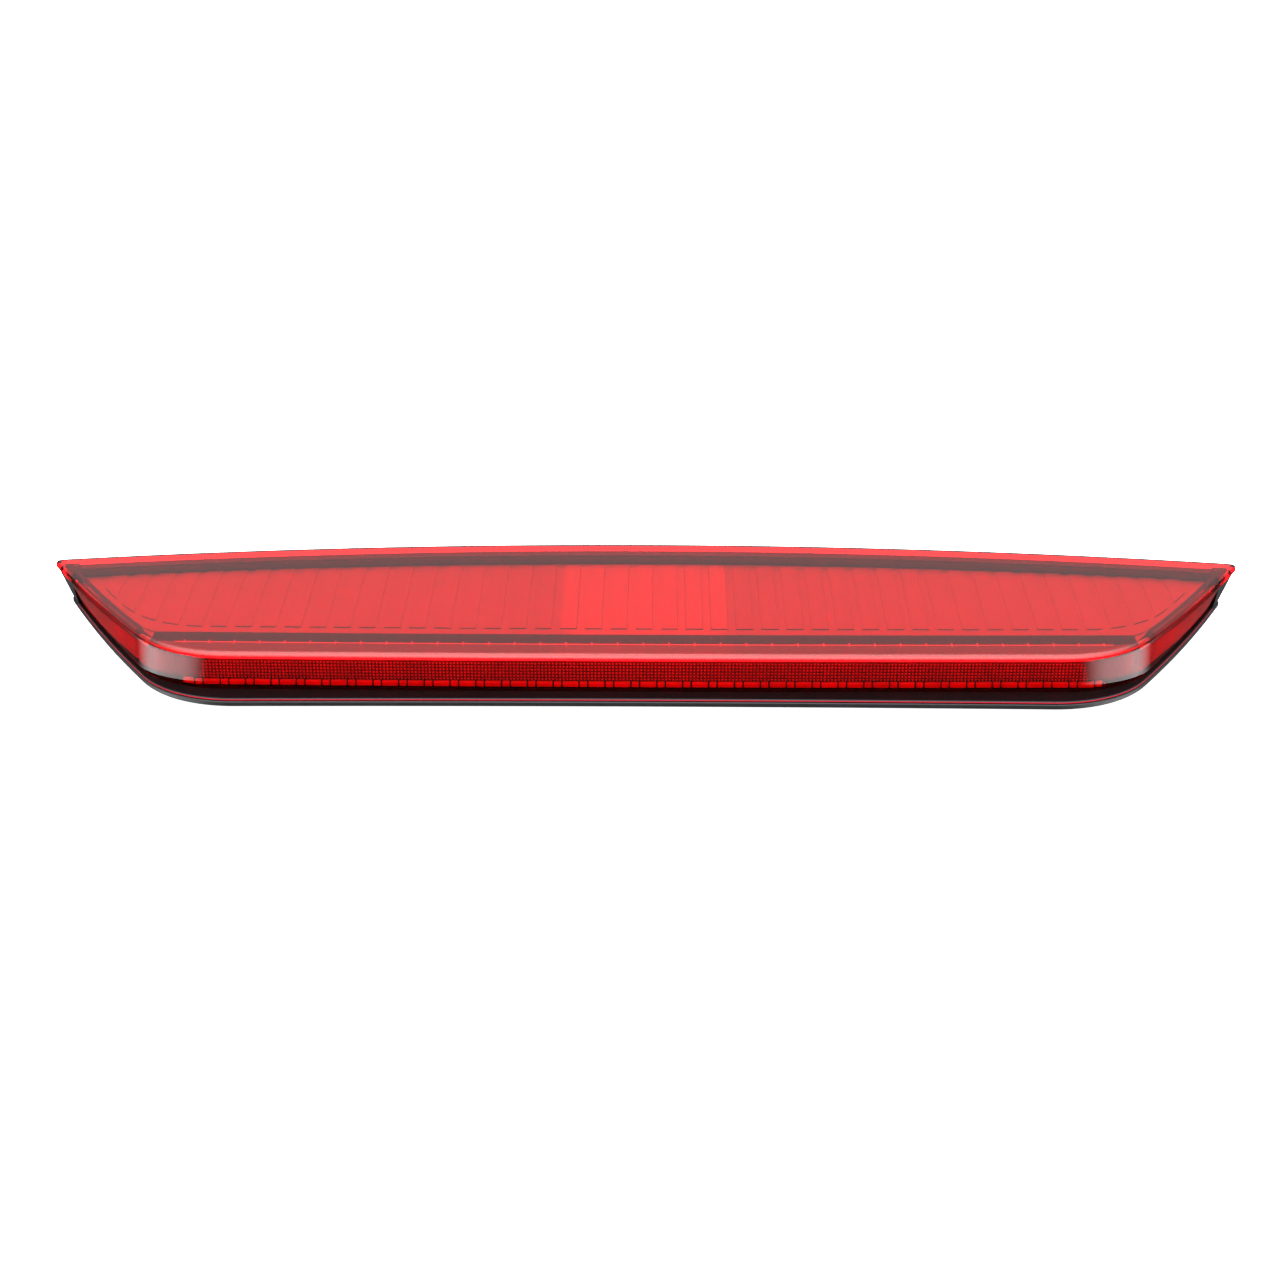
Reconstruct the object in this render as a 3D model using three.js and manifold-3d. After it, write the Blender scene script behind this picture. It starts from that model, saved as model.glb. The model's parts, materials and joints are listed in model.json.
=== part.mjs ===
// High-mount third brake light for a boot lid: a wide, thin LED lamp with a clear red lens.
// Millimetres. +Z is up through the lens top, -Y is the lit front, +X is to the right.
// The origin is the underside of the central support pad, where the lamp meets the body panel.
import * as THREE from 'three';
import { mergeVertices } from 'three/addons/utils/BufferGeometryUtils.js';
import Module from 'manifold-3d';

const wasm = await Module();
wasm.setup();

// ---- driving dimensions ----

const CROWN_DROP = 5; // how far the lamp falls away at CROWN_SPAN from the middle
const CROWN_SPAN = 200;

const RIM_BOTTOM = 3; // underside of the housing floor at the middle
const RIM_TOP = 4.7;
const FLANGE_BOTTOM = 4.95; // lens flange, over the rim seal
const FLANGE_TOP = 5.8;
const PLATE_BOTTOM = 15.8; // lens top plate
const PLATE_TOP = 18;
const LENS_WALL = 2.2;
const SHOULDER_R = 2; // round between the top plate and the wall
const BACK_EDGE_R = 0.5;
const FRONT_RIB_TOP = 5.7;
const LEDGE_BOTTOM = 13.9; // ledge along the back, under the lens plate
const LEDGE_TOP = 15.3;
const LEDGE_WIDTH = 6.7; // from where the overhang starts

// Plan outlines, right half: a front arc, a corner, a side arc, a tip and a back arc.
const LENS_PLAN = {
  frontY: -39.7, frontR: 1725,
  sideX: 178.8, sideY: 5.6, sideDeg: 34.1, sideR: 530,
  backY: 44.8, backR: 6530,
  cornerR: 42, tipR: 0.7,
};
const FOOT_PLAN = {
  frontY: -39.8, frontR: 1800,
  sideX: 174.7, sideY: 2.45, sideDeg: 30.6, sideR: 600,
  backY: 43.2, backR: 6530,
  cornerR: 40, tipR: 0.8,
};
const RIM_PLAN = {
  frontY: -44.85, frontR: 2700,
  sideX: 175.6, sideY: 1.95, sideDeg: 30.6, sideR: 600,
  backY: 43.6, backR: 6530,
  cornerR: 40, tipR: 1.2,
};
const OVERHANG = 3.9; // lens plate behind the housing's rear wall
const REAR_SHELF = FOOT_PLAN.backY + OVERHANG - LENS_PLAN.backY; // housing rim behind that wall
const FRONT_STEPS = 9; // straight steps along each stretch of the half outline
const CORNER_STEPS = 5;
const SIDE_STEPS = 3;
const TIP_STEPS = 2;
const SHARPEST_TIP = 0.25;

const CELL_PITCH = 8.08; // one optic cell, and one reflector pad
const CELL_COUNT = 37;
const ARRAY_HALF = CELL_PITCH * CELL_COUNT / 2;

// The front and rear of these are distances behind the lens front.
const OPTIC = { front: 2.8, rear: 10.9, bottom: 6.1, blockTop: 8.1, top: 15.3 };
const SHIELD = { front: 11.2, rear: 18, leg: 1.2, thick: 1, top: 15.3, foot: 8.1 };
const BOARD = { front: 12.9, rear: 32, bottom: 6.6, thick: 1.2 };
const TONGUE = { halfWidth: 13, back: 29 };

const REFLECTOR = { inset: 4.9, bottom: 11, top: 12.4, backInset: 8.1 };
const REFLECTOR_FRONT = 18.4; // front edge beside the optic, behind the lens front
const PAD = { width: 0.64 * CELL_PITCH, rise: 0.8, front: -12.9, back: 34 };
const PAD_EDGE_INSET = 12;

const LED = { count: 18, width: 3.2, depth: 2.4, height: 2.8 };
const STUD = { headR: 5, headTop: 5.45, headBottom: 3.45, shankR: 2.5, tip: -13 };
const STUD_PLACES = [
  ['stud_inner_left', -62, -8],
  ['stud_inner_right', 62, -8],
  ['stud_outer_left', -140, 20],
  ['stud_outer_right', 140, 20],
];
const BOSS = { outerR: 8, top: 5.75 };
const PAD_R = 7; // central support pad
const SCREW = { headR: 2.8, headHeight: 1.7, shankR: 1.1, tip: 3.6, boss: 6.3, bossR: 3.2 };
const SCREW_XS = [-136, -68, 0, 68, 136];
const POST_PLACES = [[-60, 24], [60, 24], [-118, 18], [118, 18], [-160, -10], [160, -10]];
const POST = { radius: 2.2, top: 10.7 };
const SOCKET = {
  y: 20, width: 22, depth: 16, bottom: -11, top: 0.9,
  wall: 2, web: 1.2, flangeWidth: 28, flangeDepth: 22, flangeTop: 2.3,
  neckWidth: 17, neckDepth: 7, neckTop: 6.2,
};
const BLADE = { width: 2.8, thick: 0.8, spacing: 8, bottom: -7, top: 9 };
const VENT = { x: -96, y: 12, radius: 6, height: 2.2, hole: 2 };
const GASKET = { outer: 8, inner: 12, bottom: -0.6, top: 2.85 };
const POST_FROM = 192; // black corner posts of the housing stand beyond this x
const POST_INSET = 0.4;
const ROOM_OVER = 2; // how far a cutter reaches past what it cuts
const GAP = 0.3; // clearance kept between neighbouring pieces

// ---- plan outlines ----

function crownAt(x) {
  return CROWN_DROP * (x / CROWN_SPAN) ** 2;
}

// The crossing of two circles that lies furthest to the right.
function crossing(a, ra, b, rb) {
  const apart = b.clone().sub(a);
  const length = apart.length();
  const along = (length * length + ra * ra - rb * rb) / (2 * length);
  const across = Math.sqrt(Math.max(ra * ra - along * along, 0));
  const unit = apart.divideScalar(length);
  const middle = a.clone().addScaledVector(unit, along);
  const side = new THREE.Vector2(-unit.y, unit.x);
  const first = middle.clone().addScaledVector(side, across);
  const second = middle.clone().addScaledVector(side, -across);
  return first.x > second.x ? first : second;
}

// Half outline of a plan, moved inwards by `inset` at the front and sides and `back` at the back.
// Gives stations of x with the front y and the back y at each.
function halfOutline(plan, inset, back) {
  const angle = THREE.MathUtils.degToRad(plan.sideDeg);
  const frontCentre = new THREE.Vector2(0, plan.frontY + plan.frontR);
  const sideCentre = new THREE.Vector2(
    plan.sideX - plan.sideR * Math.cos(angle),
    plan.sideY + plan.sideR * Math.sin(angle),
  );
  const backCentre = new THREE.Vector2(0, plan.backY - plan.backR);
  const frontR = plan.frontR - inset;
  const sideR = plan.sideR - inset;
  const backR = plan.backR - back;
  const cornerR = plan.cornerR - inset;
  const tipR = Math.max(plan.tipR - Math.max(inset, back), SHARPEST_TIP);
  const corner = crossing(frontCentre, frontR - cornerR, sideCentre, sideR - cornerR);
  const tip = crossing(sideCentre, sideR - tipR, backCentre, backR - tipR);

  const lower = (centre, radius, x) => centre.y - Math.sqrt(Math.max(radius ** 2 - (x - centre.x) ** 2, 0));
  const upper = (centre, radius, x) => centre.y + Math.sqrt(Math.max(radius ** 2 - (x - centre.x) ** 2, 0));
  const tangentX = (centre, radius, to) => centre.x + radius * (to.x - centre.x) / centre.distanceTo(to);

  const frontEnd = tangentX(frontCentre, frontR, corner);
  const cornerEnd = tangentX(sideCentre, sideR, corner);
  const sideEnd = tangentX(sideCentre, sideR, tip);
  const backEnd = tangentX(backCentre, backR, tip);
  const tipEnd = tip.x + tipR;

  const stations = [];
  for (let i = 0; i < FRONT_STEPS; i++) {
    stations.push(frontEnd * i / FRONT_STEPS);
  }
  const fromAngle = Math.acos((frontEnd - corner.x) / cornerR);
  const toAngle = Math.acos((cornerEnd - corner.x) / cornerR);
  for (let i = 0; i < CORNER_STEPS; i++) {
    stations.push(corner.x + cornerR * Math.cos(THREE.MathUtils.lerp(fromAngle, toAngle, i / CORNER_STEPS)));
  }
  for (let i = 0; i < SIDE_STEPS; i++) {
    stations.push(THREE.MathUtils.lerp(cornerEnd, sideEnd, i / SIDE_STEPS));
  }
  const tipAngle = Math.acos((sideEnd - tip.x) / tipR);
  for (let i = 0; i < TIP_STEPS; i++) {
    stations.push(tip.x + tipR * Math.cos(tipAngle * (1 - i / TIP_STEPS)));
  }
  stations.push(tipEnd);

  return stations.map((x) => {
    let front = lower(tip, tipR, x);
    if (x < frontEnd) front = lower(frontCentre, frontR, x);
    else if (x < cornerEnd) front = lower(corner, cornerR, x);
    else if (x < sideEnd) front = lower(sideCentre, sideR, x);
    const rear = x < backEnd ? upper(backCentre, backR, x) : upper(tip, tipR, x);
    return { x, front, rear };
  });
}

// ---- solids ----

function geometryOf(positions, indices) {
  const geometry = new THREE.BufferGeometry();
  geometry.setAttribute('position', new THREE.Float32BufferAttribute(positions, 3));
  geometry.setIndex(indices);
  return geometry;
}

// Merges shared vertices and drops triangles that have closed up.
function tidy(geometry) {
  const bare = geometry.clone();
  bare.deleteAttribute('normal');
  bare.deleteAttribute('uv');
  const merged = mergeVertices(bare, 1e-4);
  const source = merged.getIndex().array;
  const kept = [];
  for (let i = 0; i < source.length; i += 3) {
    const [a, b, c] = [source[i], source[i + 1], source[i + 2]];
    if (a !== b && b !== c && c !== a) kept.push(a, b, c);
  }
  merged.setIndex(kept);
  return merged;
}

// A crowned solid from levels of full outlines, bottom first: each { z, plan, inset, back }.
function planSolid(levels) {
  const positions = [];
  const indices = [];
  let count = 0;
  for (const level of levels) {
    const half = halfOutline(level.plan, level.inset, level.back);
    const mirrored = half.slice(1).reverse().map((s) => ({ ...s, x: -s.x }));
    const full = [...mirrored, ...half];
    count = full.length;
    for (const s of full) positions.push(s.x, s.front, level.z - crownAt(s.x));
    for (const s of full) positions.push(s.x, s.rear, level.z - crownAt(s.x));
  }
  const quad = (a, b, c, d) => indices.push(a, b, c, a, c, d);
  const top = (levels.length - 1) * 2 * count;
  for (let i = 0; i < count - 1; i++) {
    quad(i, count + i, count + i + 1, i + 1);
    quad(top + i, top + i + 1, top + count + i + 1, top + count + i);
    for (let level = 0; level < levels.length - 1; level++) {
      const low = level * 2 * count;
      const high = low + 2 * count;
      quad(low + i, low + i + 1, high + i + 1, high + i);
      quad(low + count + i + 1, low + count + i, high + count + i, high + count + i + 1);
    }
  }
  for (let level = 0; level < levels.length - 1; level++) {
    const low = level * 2 * count;
    const high = low + 2 * count;
    quad(low + count, low, high, high + count);
    quad(low + count - 1, low + 2 * count - 1, high + 2 * count - 1, high + count - 1);
  }
  return tidy(geometryOf(positions, indices));
}

// The same outline over a height range.
function slab(plan, inset, back, bottom, top) {
  return planSolid([{ z: bottom, plan, inset, back }, { z: top, plan, inset, back }]);
}

// A crowned strip that follows the lens front from -halfLength to halfLength.
// `section` is a closed loop of [distance behind the front arc, z], anticlockwise seen from +X.
function frontStrip(halfLength, steps, section) {
  const positions = [];
  const indices = [];
  const count = section.length;
  for (let i = 0; i <= steps; i++) {
    const x = THREE.MathUtils.lerp(-halfLength, halfLength, i / steps);
    for (const [behind, z] of section) {
      const radius = LENS_PLAN.frontR - behind;
      const y = LENS_PLAN.frontY + LENS_PLAN.frontR - Math.sqrt(radius ** 2 - x ** 2);
      positions.push(x, y, z - crownAt(x));
    }
  }
  for (let i = 0; i < steps; i++) {
    for (let j = 0; j < count; j++) {
      const a = i * count + j;
      const b = i * count + (j + 1) % count;
      indices.push(a, b, b + count, a, b + count, a + count);
    }
  }
  const loop = section.map(([y, z]) => new THREE.Vector2(y, z));
  const last = steps * count;
  for (const [a, b, c] of THREE.ShapeUtils.triangulateShape(loop, [])) {
    indices.push(a, c, b);
    indices.push(last + a, last + b, last + c);
  }
  return tidy(geometryOf(positions, indices));
}

function rectangle(front, rear, bottom, top) {
  return [[front, bottom], [rear, bottom], [rear, top], [front, top]];
}

function box(width, depth, bottom, top, x = 0, y = 0) {
  const geometry = new THREE.BoxGeometry(width, depth, top - bottom);
  return geometry.translate(x, y, (bottom + top) / 2);
}

function disc(radius, bottom, top, x, y, sides = 16) {
  const geometry = new THREE.CylinderGeometry(radius, radius, top - bottom, sides);
  return geometry.rotateX(Math.PI / 2).translate(x, y, (bottom + top) / 2);
}

// A solid of revolution about Z from [radius, z] pairs that start and end on the axis, bottom first.
function turned(profile, sides = 16) {
  const points = profile.map(([radius, z]) => new THREE.Vector2(radius, z));
  return new THREE.LatheGeometry(points, sides).rotateX(Math.PI / 2);
}

function toManifold(geometry) {
  const merged = tidy(geometry);
  const mesh = new wasm.Mesh({
    numProp: 3,
    vertProperties: new Float32Array(merged.getAttribute('position').array),
    triVerts: new Uint32Array(merged.getIndex().array),
  });
  return new wasm.Manifold(mesh);
}

function fromManifold(solid) {
  const mesh = solid.getMesh();
  return geometryOf(Array.from(mesh.vertProperties), Array.from(mesh.triVerts));
}

// Joins the first list of shapes, then cuts the second list away.
function carve(joined, cuts) {
  let solid = toManifold(joined[0]);
  for (const shape of joined.slice(1)) solid = solid.add(toManifold(shape));
  for (const shape of cuts) solid = solid.subtract(toManifold(shape));
  return fromManifold(solid);
}

// The two ends of a shape, beyond `from` on each side.
function endsBeyond(geometry, from) {
  const length = 20;
  const rooms = [-1, 1].map((side) => box(length, 200, -20, 40, side * (from + length / 2), 0));
  return fromManifold(toManifold(geometry).intersect(toManifold(carve(rooms, []))));
}

// The part of a shape that lies inside the lens wall, `inset` in from its outside.
function insideWall(geometry, inset) {
  const room = planSolid([
    { z: RIM_TOP - 2, plan: FOOT_PLAN, inset, back: 0 },
    { z: FLANGE_TOP, plan: FOOT_PLAN, inset, back: 0 },
    { z: PLATE_BOTTOM + 1, plan: LENS_PLAN, inset, back: 0 },
  ]);
  return fromManifold(toManifold(geometry).intersect(toManifold(room)));
}

// ---- materials ----

function material(color, roughness, metalness = 0) {
  return new THREE.MeshStandardMaterial({ color, roughness, metalness });
}

const finishes = {
  redLens: material(0xd5121c, 0.05),
  blackHousing: material(0x1b1b1d, 0.5),
  metallised: material(0xe23a38, 0.25, 0.6),
  clearOptic: material(0xb01018, 0.15),
  blackShield: material(0x222224, 0.6),
  foam: material(0x161616, 0.95),
  sealant: material(0x3a3a3c, 0.8),
  circuitBoard: material(0x1f5a34, 0.45),
  ledBody: material(0xf0eee4, 0.4),
  resistor: material(0x111113, 0.4),
  chip: material(0x18181a, 0.35),
  tantalum: material(0xc9a040, 0.45),
  steel: material(0xb9bcc0, 0.35, 0.9),
  brass: material(0xcdb071, 0.3, 0.9),
  silicone: material(0xd0602a, 0.7),
  membrane: material(0xe8e8e6, 0.8),
};

const lamp = new THREE.Group();

function addPart(name, geometry, finish) {
  const mesh = new THREE.Mesh(geometry, finish);
  mesh.name = name;
  lamp.add(mesh);
  return mesh;
}

// ---- lens ----

function outerLens() {
  const shoulder = [0, 1, 2, 3, 4].map((step) => {
    const turn = step / 4 * Math.PI / 2;
    return {
      z: PLATE_TOP - SHOULDER_R * (1 - Math.sin(turn)),
      plan: LENS_PLAN,
      inset: SHOULDER_R * (1 - Math.cos(turn)),
      back: BACK_EDGE_R * (1 - Math.cos(turn)),
    };
  });
  const body = planSolid([
    { z: FLANGE_BOTTOM, plan: RIM_PLAN, inset: 0, back: 0 },
    { z: FLANGE_TOP, plan: RIM_PLAN, inset: 0, back: 0 },
    { z: FLANGE_TOP, plan: FOOT_PLAN, inset: 0, back: 0 },
    { z: PLATE_BOTTOM, plan: LENS_PLAN, inset: 0, back: LENS_PLAN.backY - FOOT_PLAN.backY },
    { z: PLATE_BOTTOM, plan: LENS_PLAN, inset: 0, back: 0 },
    ...shoulder,
  ]);
  const past = -12; // the hollow runs out past the back
  const hollow = planSolid([
    { z: FLANGE_BOTTOM - 1, plan: FOOT_PLAN, inset: LENS_WALL, back: past },
    { z: FLANGE_TOP, plan: FOOT_PLAN, inset: LENS_WALL, back: past },
    { z: PLATE_BOTTOM - 0.9, plan: LENS_PLAN, inset: LENS_WALL, back: past },
    { z: PLATE_BOTTOM, plan: LENS_PLAN, inset: LENS_WALL + 1.2, back: past },
  ]);
  const corners = planSolid([
    { z: FLANGE_BOTTOM - 1, plan: RIM_PLAN, inset: -ROOM_OVER, back: -ROOM_OVER },
    { z: FLANGE_TOP, plan: RIM_PLAN, inset: -ROOM_OVER, back: -ROOM_OVER },
    { z: PLATE_BOTTOM, plan: LENS_PLAN, inset: -ROOM_OVER, back: -ROOM_OVER },
  ]);
  return carve([body], [hollow, endsBeyond(corners, POST_FROM)]);
}

// ---- housing ----

// Fills the far corners below the plate, where the lens wall stops.
function cornerPosts() {
  const posts = planSolid([
    { z: RIM_TOP - 0.6, plan: RIM_PLAN, inset: POST_INSET, back: POST_INSET },
    { z: RIM_TOP, plan: RIM_PLAN, inset: POST_INSET, back: POST_INSET },
    { z: PLATE_BOTTOM - GAP, plan: LENS_PLAN, inset: POST_INSET, back: OVERHANG / 2 },
  ]);
  return endsBeyond(posts, POST_FROM + GAP);
}

function screwY(x) {
  return frontArcY(x, BOARD.rear - 5);
}

function frontArcY(x, behind) {
  const radius = LENS_PLAN.frontR - behind;
  return LENS_PLAN.frontY + LENS_PLAN.frontR - Math.sqrt(radius ** 2 - x ** 2);
}

function housing() {
  const floor = slab(RIM_PLAN, 0, 0, RIM_BOTTOM, RIM_TOP);
  const rearFace = 0.5;
  const rearWall = 2;
  const ribInset = 3.1;
  const ribThick = 1.4;
  const tub = planSolid([
    { z: RIM_TOP - 1, plan: FOOT_PLAN, inset: ribInset - 0.3, back: REAR_SHELF + rearFace },
    { z: RIM_TOP, plan: FOOT_PLAN, inset: ribInset - 0.3, back: REAR_SHELF + rearFace },
    { z: LEDGE_TOP, plan: LENS_PLAN, inset: ribInset, back: OVERHANG + rearFace },
  ]);
  const hollowInset = ribInset + ribThick;
  const hollowBack = rearFace + rearWall;
  const tubHollow = planSolid([
    { z: RIM_TOP - 0.5, plan: FOOT_PLAN, inset: hollowInset - 0.3, back: REAR_SHELF + hollowBack },
    { z: RIM_TOP, plan: FOOT_PLAN, inset: hollowInset - 0.3, back: REAR_SHELF + hollowBack },
    { z: LEDGE_TOP + 1, plan: LENS_PLAN, inset: hollowInset, back: OVERHANG + hollowBack },
  ]);
  const frontCut = frontStrip(176, 22, rectangle(-12, 17, FRONT_RIB_TOP, 30));
  const ribs = carve([tub], [tubHollow, frontCut]);

  const ledgeBand = slab(LENS_PLAN, ribInset + 0.3, OVERHANG + 0.9, LEDGE_BOTTOM, LEDGE_TOP - 0.1);
  const ledgeInside = slab(LENS_PLAN, -10, OVERHANG + LEDGE_WIDTH, LEDGE_BOTTOM - 1, LEDGE_TOP + 1);
  const ledge = carve([ledgeBand], [ledgeInside]);

  const joined = [floor, ribs, ledge, disc(PAD_R, 0, RIM_TOP - 0.5, 0, 0)];
  const cuts = [];
  for (const [, x, y] of STUD_PLACES) {
    joined.push(disc(BOSS.outerR, -crownAt(x), BOSS.top, x, y));
    cuts.push(disc(STUD.shankR + GAP, -crownAt(x) - 1, BOSS.top + 1, x, y));
    cuts.push(disc(STUD.headR + GAP, STUD.headBottom - 0.1, BOSS.top + 1, x, y));
  }
  for (const x of SCREW_XS) {
    joined.push(disc(SCREW.bossR, RIM_BOTTOM + 0.5 - crownAt(x), SCREW.boss - crownAt(x), x, screwY(x), 12));
    cuts.push(disc(SCREW.shankR + GAP, SCREW.tip - 0.3 - crownAt(x), 12, x, screwY(x), 12));
  }
  for (const [x, y] of POST_PLACES) {
    joined.push(disc(POST.radius, RIM_BOTTOM + 0.5 - crownAt(x), POST.top - crownAt(x), x, y));
  }
  const grooveOuter = slab(FOOT_PLAN, 0.3, 2.2, RIM_TOP - 0.9, RIM_TOP + 1);
  const grooveInner = slab(FOOT_PLAN, 1.9, -20, RIM_TOP - 2, RIM_TOP + 2);
  cuts.push(carve([grooveOuter], [grooveInner]));
  cuts.push(box(SOCKET.neckWidth + 2 * GAP, SOCKET.neckDepth + 2 * GAP, 0, RIM_TOP + 1, 0, SOCKET.y));
  cuts.push(disc(VENT.hole, RIM_BOTTOM - 6, RIM_TOP + 1, VENT.x, VENT.y));
  return carve([...joined, cornerPosts()], cuts);
}

// ---- seals and gasket ----

function rimSeal() {
  const outer = slab(FOOT_PLAN, 0.5, 2.5, RIM_TOP - 0.75, RIM_TOP + 0.1);
  const inner = slab(FOOT_PLAN, 1.7, -20, RIM_TOP - 2, RIM_TOP + 1);
  return carve([outer], [inner]);
}

function rearSeal() {
  const outer = slab(LENS_PLAN, 6, OVERHANG + 1.6, LEDGE_TOP + 0.1, PLATE_BOTTOM - 0.1);
  const inner = slab(LENS_PLAN, -10, OVERHANG + 3.4, LEDGE_TOP - 1, PLATE_BOTTOM + 1);
  return carve([outer], [inner]);
}

function mountingGasket() {
  const outer = slab(RIM_PLAN, GASKET.outer, GASKET.outer / 2, GASKET.bottom, GASKET.top);
  const innerBack = GASKET.inner - GASKET.outer / 2;
  const inner = slab(RIM_PLAN, GASKET.inner, innerBack, GASKET.bottom - 1, GASKET.top + 1);
  return carve([outer], [inner]);
}

// ---- optics ----

function reflector() {
  const plate = slab(LENS_PLAN, 4, REFLECTOR.backInset, REFLECTOR.bottom, REFLECTOR.top);
  const slotEnd = ARRAY_HALF + 1.5;
  const slotSection = rectangle(-5, REFLECTOR_FRONT, REFLECTOR.bottom - 2, REFLECTOR.top + 2);
  const slot = frontStrip(slotEnd, 20, slotSection);
  const pads = [];
  const padTop = REFLECTOR.top + PAD.rise;
  for (let i = -22; i <= 22; i++) {
    const x = i * CELL_PITCH;
    const outerX = Math.abs(x) + PAD.width / 2;
    const half = halfOutline(LENS_PLAN, PAD_EDGE_INSET, PAD_EDGE_INSET);
    const near = half.findIndex((s) => s.x > outerX);
    if (near < 1) continue;
    const span = (outerX - half[near - 1].x) / (half[near].x - half[near - 1].x);
    const edge = THREE.MathUtils.lerp(half[near - 1].front, half[near].front, span);
    const front = Math.max(PAD.front, edge);
    if (PAD.back - front < 4) continue;
    const bottom = REFLECTOR.top - 0.5 - crownAt(x);
    pads.push(box(PAD.width, PAD.back - front, bottom, padTop - crownAt(x), x, (PAD.back + front) / 2));
  }
  return insideWall(carve([plate, ...pads], [slot]), REFLECTOR.inset);
}

function opticBar() {
  const { front, rear, bottom, blockTop, top } = OPTIC;
  const bar = frontStrip(ARRAY_HALF, 37, [
    [front + 0.6, bottom],
    [rear, bottom],
    [rear, top],
    [front + 0.8, top],
    [front, top - 0.8],
    [front, blockTop + 0.3],
    [front + 0.6, blockTop],
  ]);
  return insideWall(bar, 2.9);
}

function lightShield() {
  const { front, rear, leg, thick, top, foot } = SHIELD;
  return frontStrip(ARRAY_HALF + 0.8, 20, [
    [front, top - thick],
    [rear - leg, top - thick],
    [rear - leg, foot],
    [rear, foot],
    [rear, top],
    [front, top],
  ]);
}

// ---- electronics ----

function ledBoard() {
  const top = BOARD.bottom + BOARD.thick;
  const strip = frontStrip(ARRAY_HALF + 0.5, 20, rectangle(BOARD.front, BOARD.rear, BOARD.bottom, top));
  const stripBack = frontArcY(0, BOARD.rear);
  const tongueDepth = TONGUE.back - stripBack + 4;
  const tongue = box(2 * TONGUE.halfWidth, tongueDepth, BOARD.bottom, top, 0, TONGUE.back - tongueDepth / 2);
  const cuts = SCREW_XS.map((x) => disc(SCREW.shankR + 0.5, 0, 12, x, screwY(x), 12));
  for (const side of [-1, 1]) {
    const x = side * BLADE.spacing / 2;
    cuts.push(box(BLADE.width + 2 * GAP, BLADE.thick + 2 * GAP, 0, 12, x, SOCKET.y));
  }
  return carve([strip, tongue], cuts);
}

// A side profile drawn as [y, z] and drawn out along X to the given width.
function profileAlongX(profile, width) {
  const shape = new THREE.Shape(profile.map(([y, z]) => new THREE.Vector2(y, z)));
  const geometry = new THREE.ExtrudeGeometry(shape, { depth: width, bevelEnabled: false });
  const turn = new THREE.Matrix4().makeBasis(
    new THREE.Vector3(0, 1, 0),
    new THREE.Vector3(0, 0, 1),
    new THREE.Vector3(1, 0, 0),
  );
  return geometry.applyMatrix4(turn).translate(-width / 2, 0, 0);
}

// Side-emitting LED: a white cup with a sloped back and a domed window towards the optic.
function ledGeometry() {
  const half = LED.depth / 2;
  const body = profileAlongX([
    [-half, 0],
    [half, 0],
    [half, LED.height * 0.7],
    [half * 0.5, LED.height],
    [-half, LED.height],
  ], LED.width);
  const dome = new THREE.SphereGeometry(0.9, 8, 4);
  dome.scale(1.2, 0.5, 1).translate(0, -half, LED.height / 2);
  return carve([body, dome], []);
}

function addLeds() {
  const shape = ledGeometry();
  const boardTop = BOARD.bottom + BOARD.thick;
  for (let i = 0; i < LED.count; i++) {
    const x = (i - (LED.count - 1) / 2) * 2 * CELL_PITCH;
    const mesh = addPart(`led_${String(i + 1).padStart(2, '0')}`, shape, finishes.ledBody);
    const y = frontArcY(x, BOARD.front + 0.9 + LED.depth / 2);
    mesh.position.set(x, y, boardTop + 0.12 - crownAt(x));
    mesh.rotation.z = x / LENS_PLAN.frontR;
  }
}

// Small parts on the board: a body with two end caps, one closed solid.
function chipBody(width, depth, height) {
  const cap = width * 0.18;
  const body = box(width - cap, depth * 0.94, 0.05, height);
  const caps = [-1, 1].map((side) => box(cap, depth, 0, height * 0.92, side * (width - cap) / 2, 0));
  return carve([body, ...caps], []);
}

function driverChip() {
  const body = profileAlongX([[-1.9, 0.1], [1.9, 0.1], [2, 0.8], [1.9, 1.5], [-1.9, 1.5], [-2, 0.8]], 5);
  const legs = [];
  for (let i = 0; i < 4; i++) {
    const x = (i - 1.5) * 1.27;
    legs.push(box(0.42, 6, 0, 0.6, x, 0));
  }
  return carve([body, ...legs], []);
}

function addBoardParts() {
  const boardTop = BOARD.bottom + BOARD.thick + 0.12;
  const place = (name, geometry, finish, x, behind, turn = 0) => {
    const mesh = addPart(name, geometry, finish);
    mesh.position.set(x, frontArcY(x, behind), boardTop - crownAt(x));
    mesh.rotation.z = turn;
  };
  const resistorXs = [-110, -84, -40, 40, 84, 110];
  resistorXs.forEach((x, i) => {
    place(`resistor_${i + 1}`, chipBody(6.3, 3.2, 0.65), finishes.resistor, x, 24);
  });
  place('driver_chip', driverChip(), finishes.chip, -22, 26);
  place('tvs_diode', chipBody(4.6, 3.6, 2.2), finishes.chip, 20, 25);
  place('tantalum_capacitor', chipBody(7.3, 4.3, 2.7), finishes.tantalum, 56, 26);
}

// ---- fasteners ----

function boardScrew() {
  const { headR, headHeight, shankR } = SCREW;
  const boardTop = BOARD.bottom + BOARD.thick + 0.1;
  const body = turned([
    [0, SCREW.tip],
    [shankR * 0.5, SCREW.tip],
    [shankR, SCREW.tip + 0.7],
    [shankR, boardTop],
    [headR, boardTop],
    [headR, boardTop + headHeight * 0.5],
    [headR * 0.75, boardTop + headHeight * 0.9],
    [headR * 0.3, boardTop + headHeight],
    [0, boardTop + headHeight],
  ], 12);
  const slots = [0, 1].map((i) => box(2.6, 0.55, boardTop + headHeight * 0.45, 12).rotateZ(i * Math.PI / 2));
  return carve([body], slots);
}

function addScrews() {
  const shape = boardScrew();
  SCREW_XS.forEach((x, i) => {
    const mesh = addPart(`board_screw_${i + 1}`, shape, finishes.steel);
    mesh.position.set(x, screwY(x), -crownAt(x));
  });
}

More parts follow.
